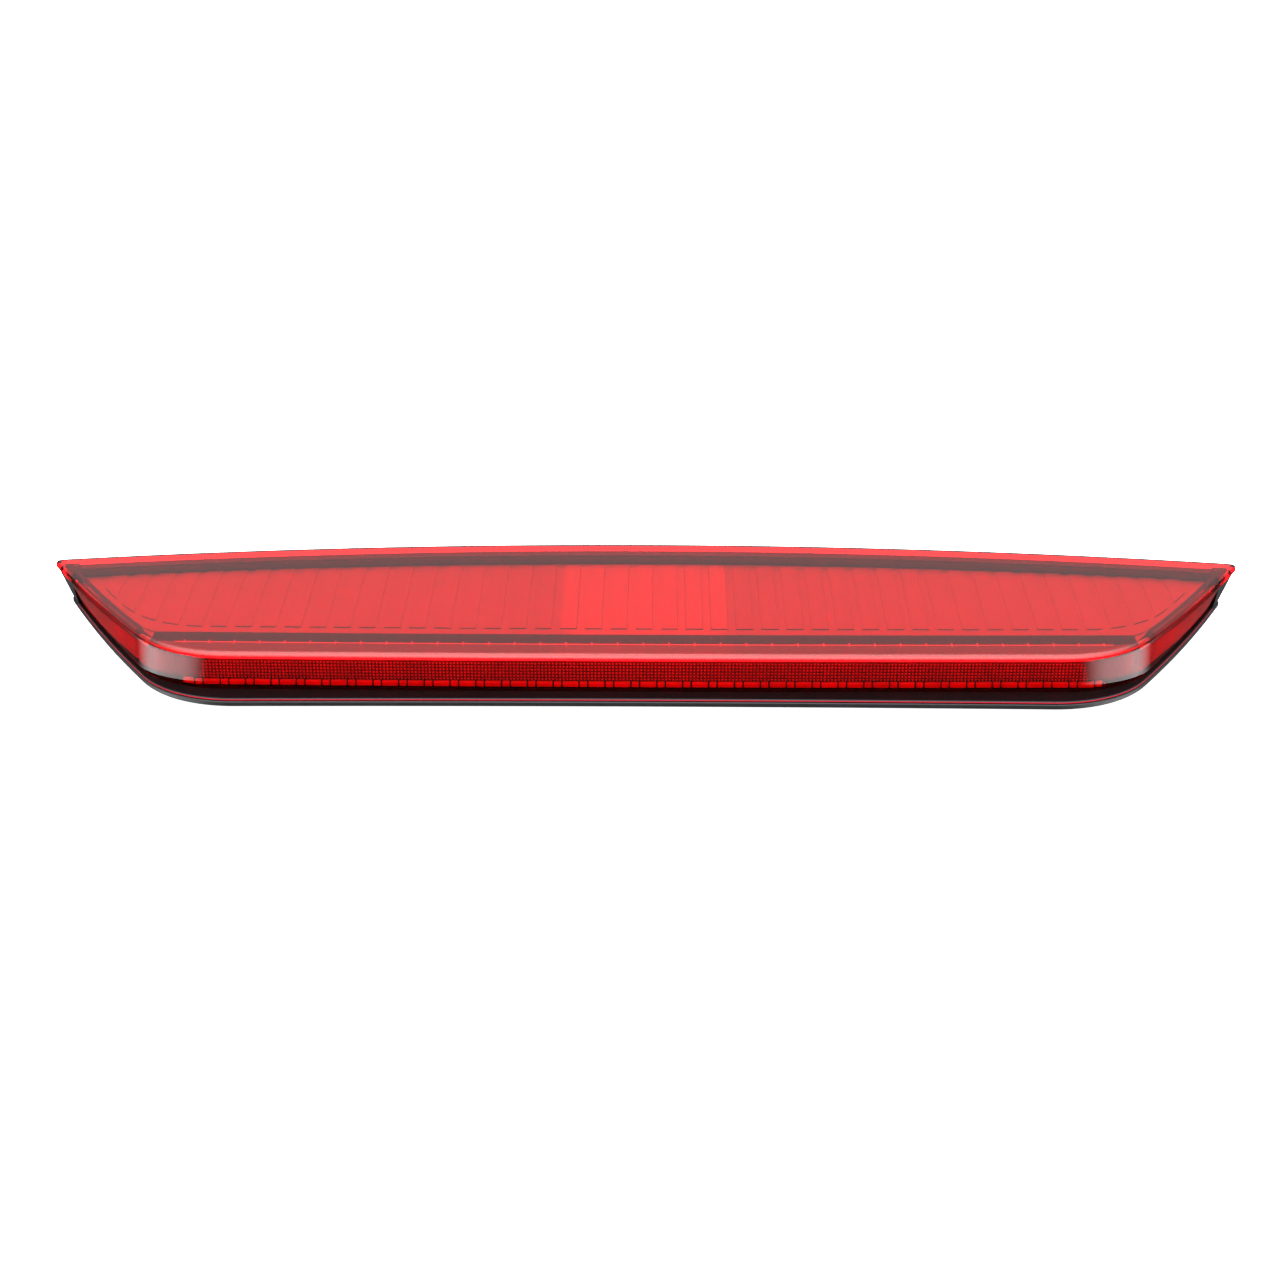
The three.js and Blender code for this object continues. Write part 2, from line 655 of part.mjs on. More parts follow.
function studGeometry() {
  const { headR, headTop, headBottom, shankR, tip } = STUD;
  return turned([
    [0, tip],
    [shankR - 0.9, tip],
    [shankR, tip + 1],
    [shankR, headBottom],
    [headR, headBottom],
    [headR, headTop - 0.4],
    [headR - 0.4, headTop],
    [0, headTop],
  ]);
}

function addStuds() {
  const shape = studGeometry();
  for (const [name, x, y] of STUD_PLACES) {
    addPart(name, shape, finishes.steel).position.set(x, y, 0);
  }
}

// ---- connector and vent ----

function connectorSocket() {
  const { width, depth, bottom, top, wall, web, flangeWidth, flangeDepth, flangeTop } = SOCKET;
  const shroud = box(width, depth, bottom, top + 0.1);
  const flange = box(flangeWidth, flangeDepth, top, flangeTop);
  const neck = box(SOCKET.neckWidth, SOCKET.neckDepth, flangeTop - 0.5, SOCKET.neckTop);
  const latchFoot = depth / 2 - 0.5;
  const latchTop = bottom + 5;
  const latchSection = [[latchFoot, bottom + 2], [depth / 2 + 1.6, latchTop], [latchFoot, latchTop]];
  const latchRamp = profileAlongX(latchSection, 6);
  const hollow = box(width - 2 * wall, depth - 2 * wall, bottom - 1, top - web);
  const keyway = box(3, wall + 2, bottom - 1, top - web - 2, -5, -depth / 2 + wall / 2);
  const slots = [-1, 1].map((side) => {
    const slot = box(BLADE.width + 2 * GAP, BLADE.thick + 2 * GAP, bottom, SOCKET.neckTop + 1);
    return slot.translate(side * BLADE.spacing / 2, 0, 0);
  });
  return carve([shroud, flange, neck, latchRamp], [hollow, keyway, ...slots]).translate(0, SOCKET.y, 0);
}

function terminalBlade() {
  const { width, thick, bottom, top } = BLADE;
  return profileAlongX([
    [-thick * 0.2, bottom],
    [thick * 0.2, bottom],
    [thick / 2, bottom + 1],
    [thick / 2, top],
    [-thick / 2, top],
    [-thick / 2, bottom + 1],
  ], width);
}

function connectorSeal() {
  const { flangeWidth, flangeDepth, flangeTop, neckWidth, neckDepth } = SOCKET;
  const bottom = flangeTop + 0.1;
  const top = RIM_BOTTOM - 0.12;
  const ring = box(flangeWidth - 2, flangeDepth - 2, bottom, top);
  const hole = box(neckWidth + 3, neckDepth + 3, bottom - 1, top + 1);
  return carve([ring], [hole]).translate(0, SOCKET.y, 0);
}

function ventCap() {
  const top = RIM_BOTTOM - crownAt(VENT.x) - 0.15;
  const cap = turned([
    [0, top - VENT.height],
    [VENT.radius - 0.8, top - VENT.height],
    [VENT.radius, top - VENT.height + 0.8],
    [VENT.radius, top],
    [0, top],
  ]);
  const pocket = disc(VENT.radius - 1.4, top - 1, top + 1, 0, 0);
  const slots = [0, 1, 2].map((i) => {
    const slot = box(2 * VENT.radius + 2, 1.1, top - 0.9, top - 0.3);
    return slot.rotateZ(i * Math.PI / 3);
  });
  return carve([cap], [pocket, ...slots]);
}

function ventMembrane() {
  const top = RIM_BOTTOM - crownAt(VENT.x) - 0.15;
  return disc(VENT.radius - 1.8, top - 0.8, top - 0.2, 0, 0);
}

// ---- assembly ----

addPart('outer_lens', outerLens(), finishes.redLens);
addPart('housing', housing(), finishes.blackHousing);
addPart('rim_seal', rimSeal(), finishes.sealant);
addPart('rear_seal', rearSeal(), finishes.sealant);
addPart('mounting_gasket', mountingGasket(), finishes.foam);
addPart('reflector', reflector(), finishes.metallised);
addPart('light_shield', lightShield(), finishes.blackShield);
addPart('optic_bar', opticBar(), finishes.clearOptic);
addPart('led_board', ledBoard(), finishes.circuitBoard);
addLeds();
addBoardParts();
addScrews();
addStuds();
addPart('connector_socket', connectorSocket(), finishes.blackHousing);
addPart('connector_seal', connectorSeal(), finishes.silicone);
addPart('terminal_ground', terminalBlade(), finishes.brass).position.set(-BLADE.spacing / 2, SOCKET.y, 0);
addPart('terminal_feed', terminalBlade(), finishes.brass).position.set(BLADE.spacing / 2, SOCKET.y, 0);
addPart('vent_cap', ventCap(), finishes.blackHousing).position.set(VENT.x, VENT.y, 0);
addPart('vent_membrane', ventMembrane(), finishes.membrane).position.set(VENT.x, VENT.y, 0);

export default lamp;
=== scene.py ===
# High-mount third brake light: fine meshes, finishes, camera and soft studio light.
import bpy
import bmesh
import json
import math
from mathutils import Vector, Matrix


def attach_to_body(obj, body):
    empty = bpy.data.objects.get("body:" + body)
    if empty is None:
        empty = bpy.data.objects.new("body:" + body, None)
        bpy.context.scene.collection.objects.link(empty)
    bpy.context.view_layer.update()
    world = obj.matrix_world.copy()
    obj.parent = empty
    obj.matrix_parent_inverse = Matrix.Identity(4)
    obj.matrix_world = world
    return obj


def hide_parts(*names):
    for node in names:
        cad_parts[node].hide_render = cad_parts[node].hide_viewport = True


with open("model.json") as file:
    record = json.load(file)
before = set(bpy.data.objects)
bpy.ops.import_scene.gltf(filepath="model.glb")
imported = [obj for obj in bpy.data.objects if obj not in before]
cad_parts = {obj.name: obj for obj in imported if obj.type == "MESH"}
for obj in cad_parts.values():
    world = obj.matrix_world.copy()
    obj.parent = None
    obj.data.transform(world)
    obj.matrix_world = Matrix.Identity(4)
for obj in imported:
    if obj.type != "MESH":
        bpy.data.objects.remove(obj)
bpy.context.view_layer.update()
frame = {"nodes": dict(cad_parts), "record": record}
mm = 0.001

# The shared shape of the lamp: a crown along X, and plan outlines of five arcs.
crown = {"drop": 5, "span": 200}  # mm the lamp falls away by, at this distance from the middle
lensPlan = {
    "frontY": -39.7, "frontR": 1725, "sideX": 178.8, "sideY": 5.6, "sideDeg": 34.1, "sideR": 530,
    "backY": 44.8, "backR": 6530, "cornerR": 42, "tipR": 0.7,
}
footPlan = {
    "frontY": -39.8, "frontR": 1800, "sideX": 174.7, "sideY": 2.45, "sideDeg": 30.6, "sideR": 600,
    "backY": 43.2, "backR": 6530, "cornerR": 40, "tipR": 0.8,
}
rimPlan = {
    "frontY": -44.85, "frontR": 2700, "sideX": 175.6, "sideY": 1.95, "sideDeg": 30.6, "sideR": 600,
    "backY": 43.6, "backR": 6530, "cornerR": 40, "tipR": 1.2,
}
overhang = 3.9  # mm of lens plate behind the housing's rear wall
rearShelf = footPlan["backY"] + overhang - lensPlan["backY"]  # housing rim behind that wall
stack = {
    "rimBottom": 3, "rimTop": 4.7, "flangeBottom": 4.95, "flangeTop": 5.8,
    "plateBottom": 15.8, "plateTop": 18, "ledgeBottom": 13.9, "ledgeTop": 15.3,
}
cell = {"pitch": 8.08, "count": 37}
arrayHalf = cell["pitch"] * cell["count"] / 2


def crownAt(x):
    return crown["drop"] * (x / crown["span"]) ** 2


def crossing(a, ra, b, rb):  # the crossing of two circles that lies furthest to the right
    apart = b - a
    along = (apart.length_squared + ra * ra - rb * rb) / (2 * apart.length)
    across = math.sqrt(max(ra * ra - along * along, 0))
    unit = apart.normalized()
    side = Vector((-unit.y, unit.x))
    middle = a + unit * along
    return max(middle + side * across, middle - side * across, key=lambda p: p.x)


def halfOutline(plan, inset, back, fine=1.0):  # right half, as (x, front y, back y) stations
    angle = math.radians(plan["sideDeg"])
    frontCentre = Vector((0, plan["frontY"] + plan["frontR"]))
    sideCentre = Vector((plan["sideX"] - plan["sideR"] * math.cos(angle),
                         plan["sideY"] + plan["sideR"] * math.sin(angle)))
    backCentre = Vector((0, plan["backY"] - plan["backR"]))
    frontR = plan["frontR"] - inset
    sideR = plan["sideR"] - inset
    backR = plan["backR"] - back
    cornerR = plan["cornerR"] - inset
    tipR = max(plan["tipR"] - max(inset, back), 0.25)
    corner = crossing(frontCentre, frontR - cornerR, sideCentre, sideR - cornerR)
    tip = crossing(sideCentre, sideR - tipR, backCentre, backR - tipR)

    def arc(centre, radius, x, way):
        return centre.y + way * math.sqrt(max(radius ** 2 - (x - centre.x) ** 2, 0))

    def tangentX(centre, radius, to):
        return centre.x + radius * (to.x - centre.x) / (to - centre).length

    frontEnd = tangentX(frontCentre, frontR, corner)
    cornerEnd = tangentX(sideCentre, sideR, corner)
    sideEnd = tangentX(sideCentre, sideR, tip)
    backEnd = tangentX(backCentre, backR, tip)
    frontSteps, cornerSteps, sideSteps, tipSteps = (max(2, round(n * fine)) for n in (36, 20, 14, 6))
    xs = [frontEnd * i / frontSteps for i in range(frontSteps)]
    first, last = math.acos((frontEnd - corner.x) / cornerR), math.acos((cornerEnd - corner.x) / cornerR)
    xs += [corner.x + cornerR * math.cos(first + (last - first) * i / cornerSteps)
           for i in range(cornerSteps)]
    xs += [cornerEnd + (sideEnd - cornerEnd) * i / sideSteps for i in range(sideSteps)]
    tipAngle = math.acos((sideEnd - tip.x) / tipR)
    xs += [tip.x + tipR * math.cos(tipAngle * (1 - i / tipSteps)) for i in range(tipSteps + 1)]
    stations = []
    for x in xs:
        if x < frontEnd:
            front = arc(frontCentre, frontR, x, -1)
        elif x < cornerEnd:
            front = arc(corner, cornerR, x, -1)
        elif x < sideEnd:
            front = arc(sideCentre, sideR, x, -1)
        else:
            front = arc(tip, tipR, x, -1)
        rear = arc(backCentre, backR, x, 1) if x < backEnd else arc(tip, tipR, x, 1)
        stations.append((x, front, rear))
    return stations


def frontArcY(x, behind):
    radius = lensPlan["frontR"] - behind
    return lensPlan["frontY"] + lensPlan["frontR"] - math.sqrt(radius ** 2 - x ** 2)


def newPiece(name, verts, faces, smoothDeg=35):
    mesh = bpy.data.meshes.new(name)
    mesh.from_pydata([(x * mm, y * mm, z * mm) for x, y, z in verts], [], faces)
    piece = bpy.data.objects.new(name, mesh)
    bpy.context.scene.collection.objects.link(piece)
    tidyMesh(piece, smoothDeg)
    return piece


def tidyMesh(piece, smoothDeg=35):
    bm = bmesh.new()
    bm.from_mesh(piece.data)
    bmesh.ops.remove_doubles(bm, verts=bm.verts, dist=2e-6)
    bmesh.ops.dissolve_degenerate(bm, edges=bm.edges, dist=1e-6)
    bmesh.ops.recalc_face_normals(bm, faces=bm.faces)
    bm.to_mesh(piece.data)
    bm.free()
    smooth(piece, smoothDeg)


def smooth(piece, degrees):
    piece.data.shade_smooth()
    piece.data.set_sharp_from_angle(angle=math.radians(degrees))


def planSolid(name, levels, fine=1.0):  # levels, bottom first: (z, plan, inset, back)
    verts, faces = [], []
    count = 0
    for z, plan, inset, back in levels:
        half = halfOutline(plan, inset, back, fine)
        full = [(-x, f, r) for x, f, r in reversed(half[1:])] + half
        count = len(full)
        verts += [(x, f, z - crownAt(x)) for x, f, r in full]
        verts += [(x, r, z - crownAt(x)) for x, f, r in full]
    top = (len(levels) - 1) * 2 * count
    for i in range(count - 1):
        faces.append((i, count + i, count + i + 1, i + 1))
        faces.append((top + i, top + i + 1, top + count + i + 1, top + count + i))
    for level in range(len(levels) - 1):
        low, high = level * 2 * count, (level + 1) * 2 * count
        for i in range(count - 1):
            faces.append((low + i, low + i + 1, high + i + 1, high + i))
            faces.append((low + count + i + 1, low + count + i, high + count + i, high + count + i + 1))
        faces.append((low + count, low, high, high + count))
        faces.append((low + count - 1, low + 2 * count - 1, high + 2 * count - 1, high + count - 1))
    return newPiece(name, verts, faces)


def slab(name, plan, inset, back, bottom, top, fine=1.0):
    return planSolid(name, [(bottom, plan, inset, back), (top, plan, inset, back)], fine)


def frontStrip(name, halfLength, steps, section):  # section: loop of (distance behind the front, z)
    count = len(section)
    verts, faces = [], []
    for i in range(steps + 1):
        x = -halfLength + 2 * halfLength * i / steps
        verts += [(x, frontArcY(x, behind), z - crownAt(x)) for behind, z in section]
    for i in range(steps):
        for j in range(count):
            a, b = i * count + j, i * count + (j + 1) % count
            faces.append((a, b, b + count, a + count))
    faces.append(tuple(reversed(range(count))))
    faces.append(tuple(range(steps * count, steps * count + count)))
    return newPiece(name, verts, faces)


def boolean(piece, other, operation):
    step = piece.modifiers.new("cut", "BOOLEAN")
    step.operation = operation
    step.solver = "EXACT"
    step.material_mode = "TRANSFER"
    step.object = other
    bake(piece)
    bpy.data.objects.remove(other)
    return piece


def bake(piece):  # turns live modifiers into the mesh itself
    depsgraph = bpy.context.evaluated_depsgraph_get()
    depsgraph.update()
    mesh = bpy.data.meshes.new_from_object(piece.evaluated_get(depsgraph))
    piece.modifiers.clear()
    old = piece.data
    piece.data = mesh
    bpy.data.meshes.remove(old)
    return piece


def bevel(piece, width, segments=2, degrees=30):
    step = piece.modifiers.new("edge", "BEVEL")
    step.width = width * mm
    step.segments = segments
    step.limit_method = "ANGLE"
    step.angle_limit = math.radians(degrees)
    step.harden_normals = False
    bake(piece)
    smooth(piece, 40)
    return piece


def cylinder(name, radius, bottom, top, x, y, sides=48):
    ring = [(x + radius * math.cos(2 * math.pi * i / sides), y + radius * math.sin(2 * math.pi * i / sides))
            for i in range(sides)]
    verts = [(u, v, bottom) for u, v in ring] + [(u, v, top) for u, v in ring]
    faces = [(i, (i + 1) % sides, sides + (i + 1) % sides, sides + i) for i in range(sides)]
    faces += [tuple(reversed(range(sides))), tuple(range(sides, 2 * sides))]
    return newPiece(name, verts, faces)


def block(name, x0, x1, y0, y1, z0, z1):
    verts = [(x, y, z) for z in (z0, z1) for y in (y0, y1) for x in (x0, x1)]
    faces = [(0, 2, 3, 1), (4, 5, 7, 6), (0, 1, 5, 4), (2, 6, 7, 3), (0, 4, 6, 2), (1, 3, 7, 5)]
    return newPiece(name, verts, faces)


def fromHex(text):  # sRGB hex to linear
    parts = [int(text[i:i + 2], 16) / 255 for i in (0, 2, 4)]
    return tuple(c / 12.92 if c < 0.04045 else ((c + 0.055) / 1.055) ** 2.4 for c in parts) + (1,)


def addNode(owner, kind, inputs=None, **settings):  # inputs: name or index -> a socket to link, or a value
    tree = getattr(owner, "node_tree", owner)
    node = tree.nodes.new(kind)
    for key, value in settings.items():
        setattr(node, key, value)
    for key, value in (inputs or {}).items():
        if isinstance(value, bpy.types.NodeSocket):
            tree.links.new(value, node.inputs[key])
        else:
            node.inputs[key].default_value = value
    return node


def newMaterial(name):
    material = bpy.data.materials.new(name)
    material.use_nodes = True
    material.node_tree.nodes.clear()
    return material


def finish(material, shader):
    addNode(material, "ShaderNodeOutputMaterial", {"Surface": shader})
    return material


def grain(material, scale, detail=4.0):  # object-space noise, scale in features per metre
    coords = addNode(material, "ShaderNodeTexCoord")
    noise = addNode(material, "ShaderNodeTexNoise",
                    {"Vector": coords.outputs["Object"], "Scale": scale, "Detail": detail})
    return noise.outputs["Fac"]


def bumpFrom(material, height, distance, strength=1.0):
    bump = addNode(material, "ShaderNodeBump", {"Height": height, "Distance": distance, "Strength": strength})
    return bump.outputs["Normal"]


def blend(material, factor, first, second):
    node = addNode(material, "ShaderNodeMix", {0: factor, 6: first, 7: second}, data_type="RGBA")
    return node.outputs[2]


def span(material, value, low, high):  # stretches a 0 to 1 value to a range
    node = addNode(material, "ShaderNodeMapRange", {"Value": value, "To Min": low, "To Max": high})
    return node.outputs["Result"]


def letLightThrough(material, shader, colour):  # lights reach what lies behind the clear plastic
    clear = addNode(material, "ShaderNodeBsdfTransparent", {"Color": colour})
    path = addNode(material, "ShaderNodeLightPath")
    mix = addNode(material, "ShaderNodeMixShader", {
        0: path.outputs["Is Shadow Ray"], 1: shader.outputs["BSDF"], 2: clear.outputs["BSDF"]})
    return finish(material, mix.outputs["Shader"])


def mouldedAcrylicRed():  # injection-moulded PMMA: deep even red, very glossy, faint flow waviness
    m = newMaterial("mouldedAcrylicRed")
    shader = addNode(m, "ShaderNodeBsdfPrincipled", {
        "Normal": bumpFrom(m, grain(m, 60, 1.0), 0.00003, 0.25), "Base Color": fromHex("f50e15"),
        "Roughness": 0.015, "IOR": 1.49, "Transmission Weight": 1.0})
    return letLightThrough(m, shader, fromHex("f0222a"))


def clearPolycarbonate():  # moulded clear optic over a dark cavity
    m = newMaterial("clearPolycarbonate")
    haze = grain(m, 300, 2.0)
    shader = addNode(m, "ShaderNodeBsdfPrincipled", {
        "Roughness": span(m, haze, 0.08, 0.16),
        "Base Color": blend(m, haze, fromHex("a8a8a8"), fromHex("bcbcbc")),
        "IOR": 1.585, "Transmission Weight": 0.45})
    return letLightThrough(m, shader, fromHex("b0b0b0"))


def frostedPolycarbonate(name, dark, light):  # light guide faces etched with fine lines along the lamp
    m = newMaterial(name)
    coords = addNode(m, "ShaderNodeTexCoord")
    lines = addNode(m, "ShaderNodeTexWave", {
        "Vector": coords.outputs["Object"], "Scale": 320.0, "Distortion": 0.6, "Detail": 1.0},
        bands_direction="Y")  # about 1 mm from line to line
    shader = addNode(m, "ShaderNodeBsdfPrincipled", {
        "Normal": bumpFrom(m, lines.outputs["Fac"], 0.00012, 0.7),
        "Base Color": blend(m, lines.outputs["Fac"], fromHex(dark), fromHex(light)),
        "Roughness": span(m, lines.outputs["Fac"], 0.3, 0.45)})
    return finish(m, shader.outputs["BSDF"])


def mouldedBlack(name, colour, second, shine):  # fine spark-eroded mould grain
    m = newMaterial(name)
    broad = grain(m, 90, 2.0)
    shader = addNode(m, "ShaderNodeBsdfPrincipled", {
        "Normal": bumpFrom(m, grain(m, 2600, 3.0), 0.00002, 0.5),
        "Base Color": blend(m, broad, fromHex(colour), fromHex(second)),
        "Roughness": span(m, broad, shine - 0.08, shine + 0.1)})
    return finish(m, shader.outputs["BSDF"])


def vacuumMetallised(name, colour, second):  # evaporated aluminium on moulded plastic: bright, hazy
    m = newMaterial(name)
    haze = grain(m, 140, 3.0)
    shader = addNode(m, "ShaderNodeBsdfPrincipled", {
        "Normal": bumpFrom(m, haze, 0.00002, 0.3),
        "Base Color": blend(m, haze, fromHex(colour), fromHex(second)),
        "Roughness": span(m, haze, 0.4, 0.46), "Metallic": 0.35})
    return finish(m, shader.outputs["BSDF"])


def plainFinish(name, colour, second, rough, metal=0.0, scale=900, height=0.00002, shine=0.5):
    m = newMaterial(name)
    noise = grain(m, scale)
    shader = addNode(m, "ShaderNodeBsdfPrincipled", {
        "Normal": bumpFrom(m, noise, height, 0.5),
        "Base Color": blend(m, noise, fromHex(colour), fromHex(second)),
        "Roughness": span(m, noise, rough - 0.06, rough + 0.08), "Metallic": metal,
        "Specular IOR Level": shine})
    return finish(m, shader.outputs["BSDF"])


finishes = {
    "red_lens": mouldedAcrylicRed(),
    "black_housing": mouldedBlack("mouldedBlackAbs", "101012", "1b1b1e", 0.42),
    "sealant": plainFinish("butylSealant", "2a2a2b", "383839", 0.7),
    "foam_gasket": plainFinish("closedCellFoam", "121213", "242426", 0.9, 0.0, 1400, 0.0001),
    "metallised_reflector": vacuumMetallised("vacuumMetallised", "a8a8a8", "b0b0b0"),
    "black_shield": plainFinish("mouldedBlackPolycarbonate", "0a0a0b", "131314", 0.6, shine=0.2),
    "clear_optic": clearPolycarbonate(),
    "circuit_board": plainFinish("solderMaskGreen", "1c5a33", "23683c", 0.35, 0.0, 500),
    "led_package": plainFinish("ledPackageWhite", "ece9df", "f6f4ec", 0.4),
    "resistor_body": plainFinish("resistorGlaze", "141416", "1e1e22", 0.35),
    "chip_body": plainFinish("epoxyPackage", "18181a", "232326", 0.5),
    "capacitor_body": plainFinish("tantalumCase", "b98f35", "cba349", 0.4),
    "zinc_steel": plainFinish("zincPlatedSteel", "b9bbbf", "cfd1d4", 0.32, 1.0, 700),
    "socket_plastic": mouldedBlack("glassFilledPolyester", "131315", "1d1d20", 0.5),
    "silicone_seal": plainFinish("siliconeOrange", "b4521f", "c4602a", 0.55),
    "tinned_terminal": plainFinish("tinnedBrass", "c9c4b4", "dad6c8", 0.28, 1.0),
    "vent_membrane": plainFinish("porousMembrane", "dedede", "f0f0ee", 0.8, 0.0, 2500),
}
etched = frostedPolycarbonate("etchedPolycarbonate", "4c4c4c", "707070")
brightPrism = frostedPolycarbonate("litPolycarbonate", "dcdcdc", "f0f0f0")
# Painted shade as a matt black band on the glued flange, gloss black at its edge with a blue-grey cast that
# is painted reflection, the textured edge of the red moulding, and the unlit upright step of the reflector,
# dark as painted shade.
flangeShadeBand = plainFinish("paintedShadeBlackBand", "070304", "0b0506", 0.5, shine=0.05)
flangeLip = plainFinish("glossyBlackLipPaintedSheen", "141a1d", "1b2225", 0.25, shine=0.2)
satinEdge = plainFinish("satinMouldEdgeRed", "8e0e1e", "9a1224", 0.45, shine=0.04)
padWall = plainFinish("shadedMetalStep", "0c0c0c", "141414", 0.7, shine=0.1)
# Painted shade on the optic's steep faces and between its pillows; the etched top faces take the lighter
# copy.
darkOptic = frostedPolycarbonate("shadedPolycarbonate", "1c1c1c", "262626")
# Painted highlight on the pillow dome tops.
litDot = frostedPolycarbonate("paintedHighlightDomePolycarbonate", "b4b4b4", "d2d2d2")
thinMetalAndShade = vacuumMetallised("thinMetalAndPaintedShadeOnWalls", "3a3a3a", "484848")  # thinner where walls are steep, and darker still as painted shade
print("materials made:", len(bpy.data.materials))

slotOf = {part["node"]: part["material_slot"] for part in frame["record"]["subparts"]}
for name, node in frame["nodes"].items():
    for holder in node.material_slots:
        holder.material = finishes[slotOf[name]]
print("CAD nodes finished:", len(slotOf))


def dress(piece, slotName, *nodes):  # finish, body and the CAD nodes that the piece stands for
    piece.data.materials.clear()
    piece.data.materials.append(finishes[slotName])
    return attach(piece, slotName, *nodes)


def attach(piece, slotName, *nodes):
    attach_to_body(piece, "root")
    if nodes:
        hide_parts(*nodes)
    return piece


# Geometry Nodes tree: the object's own mesh copied along X, tops in one finish and steep faces in another.
def repeatTree():
    tree = bpy.data.node_groups.new("repeatAlongX", "GeometryNodeTree")
    for label, kind in (("Shape", "Geometry"), ("Count", "Int"), ("Pitch", "Float"),
                        ("Finish", "Material"), ("Wall finish", "Material")):
        tree.interface.new_socket(label, in_out="INPUT", socket_type="NodeSocket" + kind)
    tree.interface.new_socket("Row", in_out="OUTPUT", socket_type="NodeSocketGeometry")
    given = addNode(tree, "NodeGroupInput").outputs
    gaps = addNode(tree, "ShaderNodeMath", {0: given["Count"], 1: 1.0}, operation="SUBTRACT")
    length = addNode(tree, "ShaderNodeMath", {0: gaps.outputs[0], 1: given["Pitch"]}, operation="MULTIPLY")
    half = addNode(tree, "ShaderNodeMath", {0: length.outputs[0], 1: -0.5}, operation="MULTIPLY")
    start = addNode(tree, "ShaderNodeCombineXYZ", {"X": half.outputs[0]})
    step = addNode(tree, "ShaderNodeCombineXYZ", {"X": given["Pitch"]})
    line = addNode(tree, "GeometryNodeMeshLine", {
        "Count": given["Count"], "Start Location": start.outputs[0], "Offset": step.outputs[0]})
    copies = addNode(tree, "GeometryNodeInstanceOnPoints", {
        "Points": line.outputs["Mesh"], "Instance": given["Shape"]})
    real = addNode(tree, "GeometryNodeRealizeInstances", {"Geometry": copies.outputs["Instances"]})
    normal = addNode(tree, "GeometryNodeInputNormal")
    parts = addNode(tree, "ShaderNodeSeparateXYZ", {0: normal.outputs["Normal"]})
    steep = addNode(tree, "FunctionNodeCompare", {0: parts.outputs["Z"], 1: 0.5},
                    data_type="FLOAT", operation="LESS_THAN")
    tops = addNode(tree, "GeometryNodeSetMaterial", {
        "Geometry": real.outputs["Geometry"], "Material": given["Finish"]})
    walls = addNode(tree, "GeometryNodeSetMaterial", {
        "Geometry": tops.outputs["Geometry"], "Selection": steep.outputs["Result"],
        "Material": given["Wall finish"]})
    addNode(tree, "NodeGroupOutput", {"Row": walls.outputs["Geometry"]})
    return tree


# Geometry Nodes tree: a flat sheet of rounded pillows, one in each square of the pitch.
def pillowTree():
    tree = bpy.data.node_groups.new("pillowSheet", "GeometryNodeTree")
    for label, kind in (
            ("Width", "Float"), ("Height", "Float"), ("Columns", "Int"), ("Rows", "Int"),
            ("Steps", "Int"), ("Rise", "Float"), ("Finish", "Material"), ("Dot finish", "Material")):
        tree.interface.new_socket(label, in_out="INPUT", socket_type="NodeSocket" + kind)
    tree.interface.new_socket("Sheet", in_out="OUTPUT", socket_type="NodeSocketGeometry")
    given = addNode(tree, "NodeGroupInput").outputs
    verts = []
    for label in ("Columns", "Rows"):
        quads = addNode(tree, "ShaderNodeMath", {0: given[label], 1: given["Steps"]}, operation="MULTIPLY")
        verts.append(addNode(tree, "ShaderNodeMath", {0: quads.outputs[0], 1: 1.0}).outputs[0])
    grid = addNode(tree, "GeometryNodeMeshGrid", {
        "Size X": given["Width"], "Size Y": given["Height"], "Vertices X": verts[0], "Vertices Y": verts[1]})
    place = addNode(tree, "GeometryNodeInputPosition")
    parts = addNode(tree, "ShaderNodeSeparateXYZ", {0: place.outputs["Position"]})
    domes = []
    for axis, size, number in (("X", "Width", "Columns"), ("Y", "Height", "Rows")):
        share = addNode(tree, "ShaderNodeMath", {0: parts.outputs[axis], 1: given[size]}, operation="DIVIDE")
        moved = addNode(tree, "ShaderNodeMath", {0: share.outputs[0], 1: 0.5})
        cells = addNode(tree, "ShaderNodeMath", {0: moved.outputs[0], 1: given[number]}, operation="MULTIPLY")
        turn = addNode(tree, "ShaderNodeMath", {0: cells.outputs[0], 1: math.pi}, operation="MULTIPLY")
        wave = addNode(tree, "ShaderNodeMath", {0: turn.outputs[0]}, operation="SINE")
        domes.append(addNode(tree, "ShaderNodeMath", {0: wave.outputs[0]}, operation="ABSOLUTE").outputs[0])
    dome = addNode(tree, "ShaderNodeMath", {0: domes[0], 1: domes[1]}, operation="MULTIPLY")
    rise = addNode(tree, "ShaderNodeMath", {0: dome.outputs[0], 1: given["Rise"]}, operation="MULTIPLY")
    lift = addNode(tree, "ShaderNodeCombineXYZ", {"Z": rise.outputs[0]})
    shaped = addNode(tree, "GeometryNodeSetPosition", {
        "Geometry": grid.outputs["Mesh"], "Offset": lift.outputs[0]})
    real = addNode(tree, "GeometryNodeRealizeInstances", {"Geometry": shaped.outputs["Geometry"]})
    coated = addNode(tree, "GeometryNodeSetMaterial", {
        "Geometry": real.outputs["Geometry"], "Material": given["Finish"]})
    # The dome tops take the dot finish, a painted highlight.
    high = addNode(tree, "FunctionNodeCompare", {0: dome.outputs[0], 1: 0.5},
                   data_type="FLOAT", operation="GREATER_THAN")
    dotted = addNode(tree, "GeometryNodeSetMaterial", {
        "Geometry": coated.outputs["Geometry"], "Selection": high.outputs["Result"],
        "Material": given["Dot finish"]})
    addNode(tree, "NodeGroupOutput", {"Sheet": dotted.outputs["Geometry"]})
    return tree


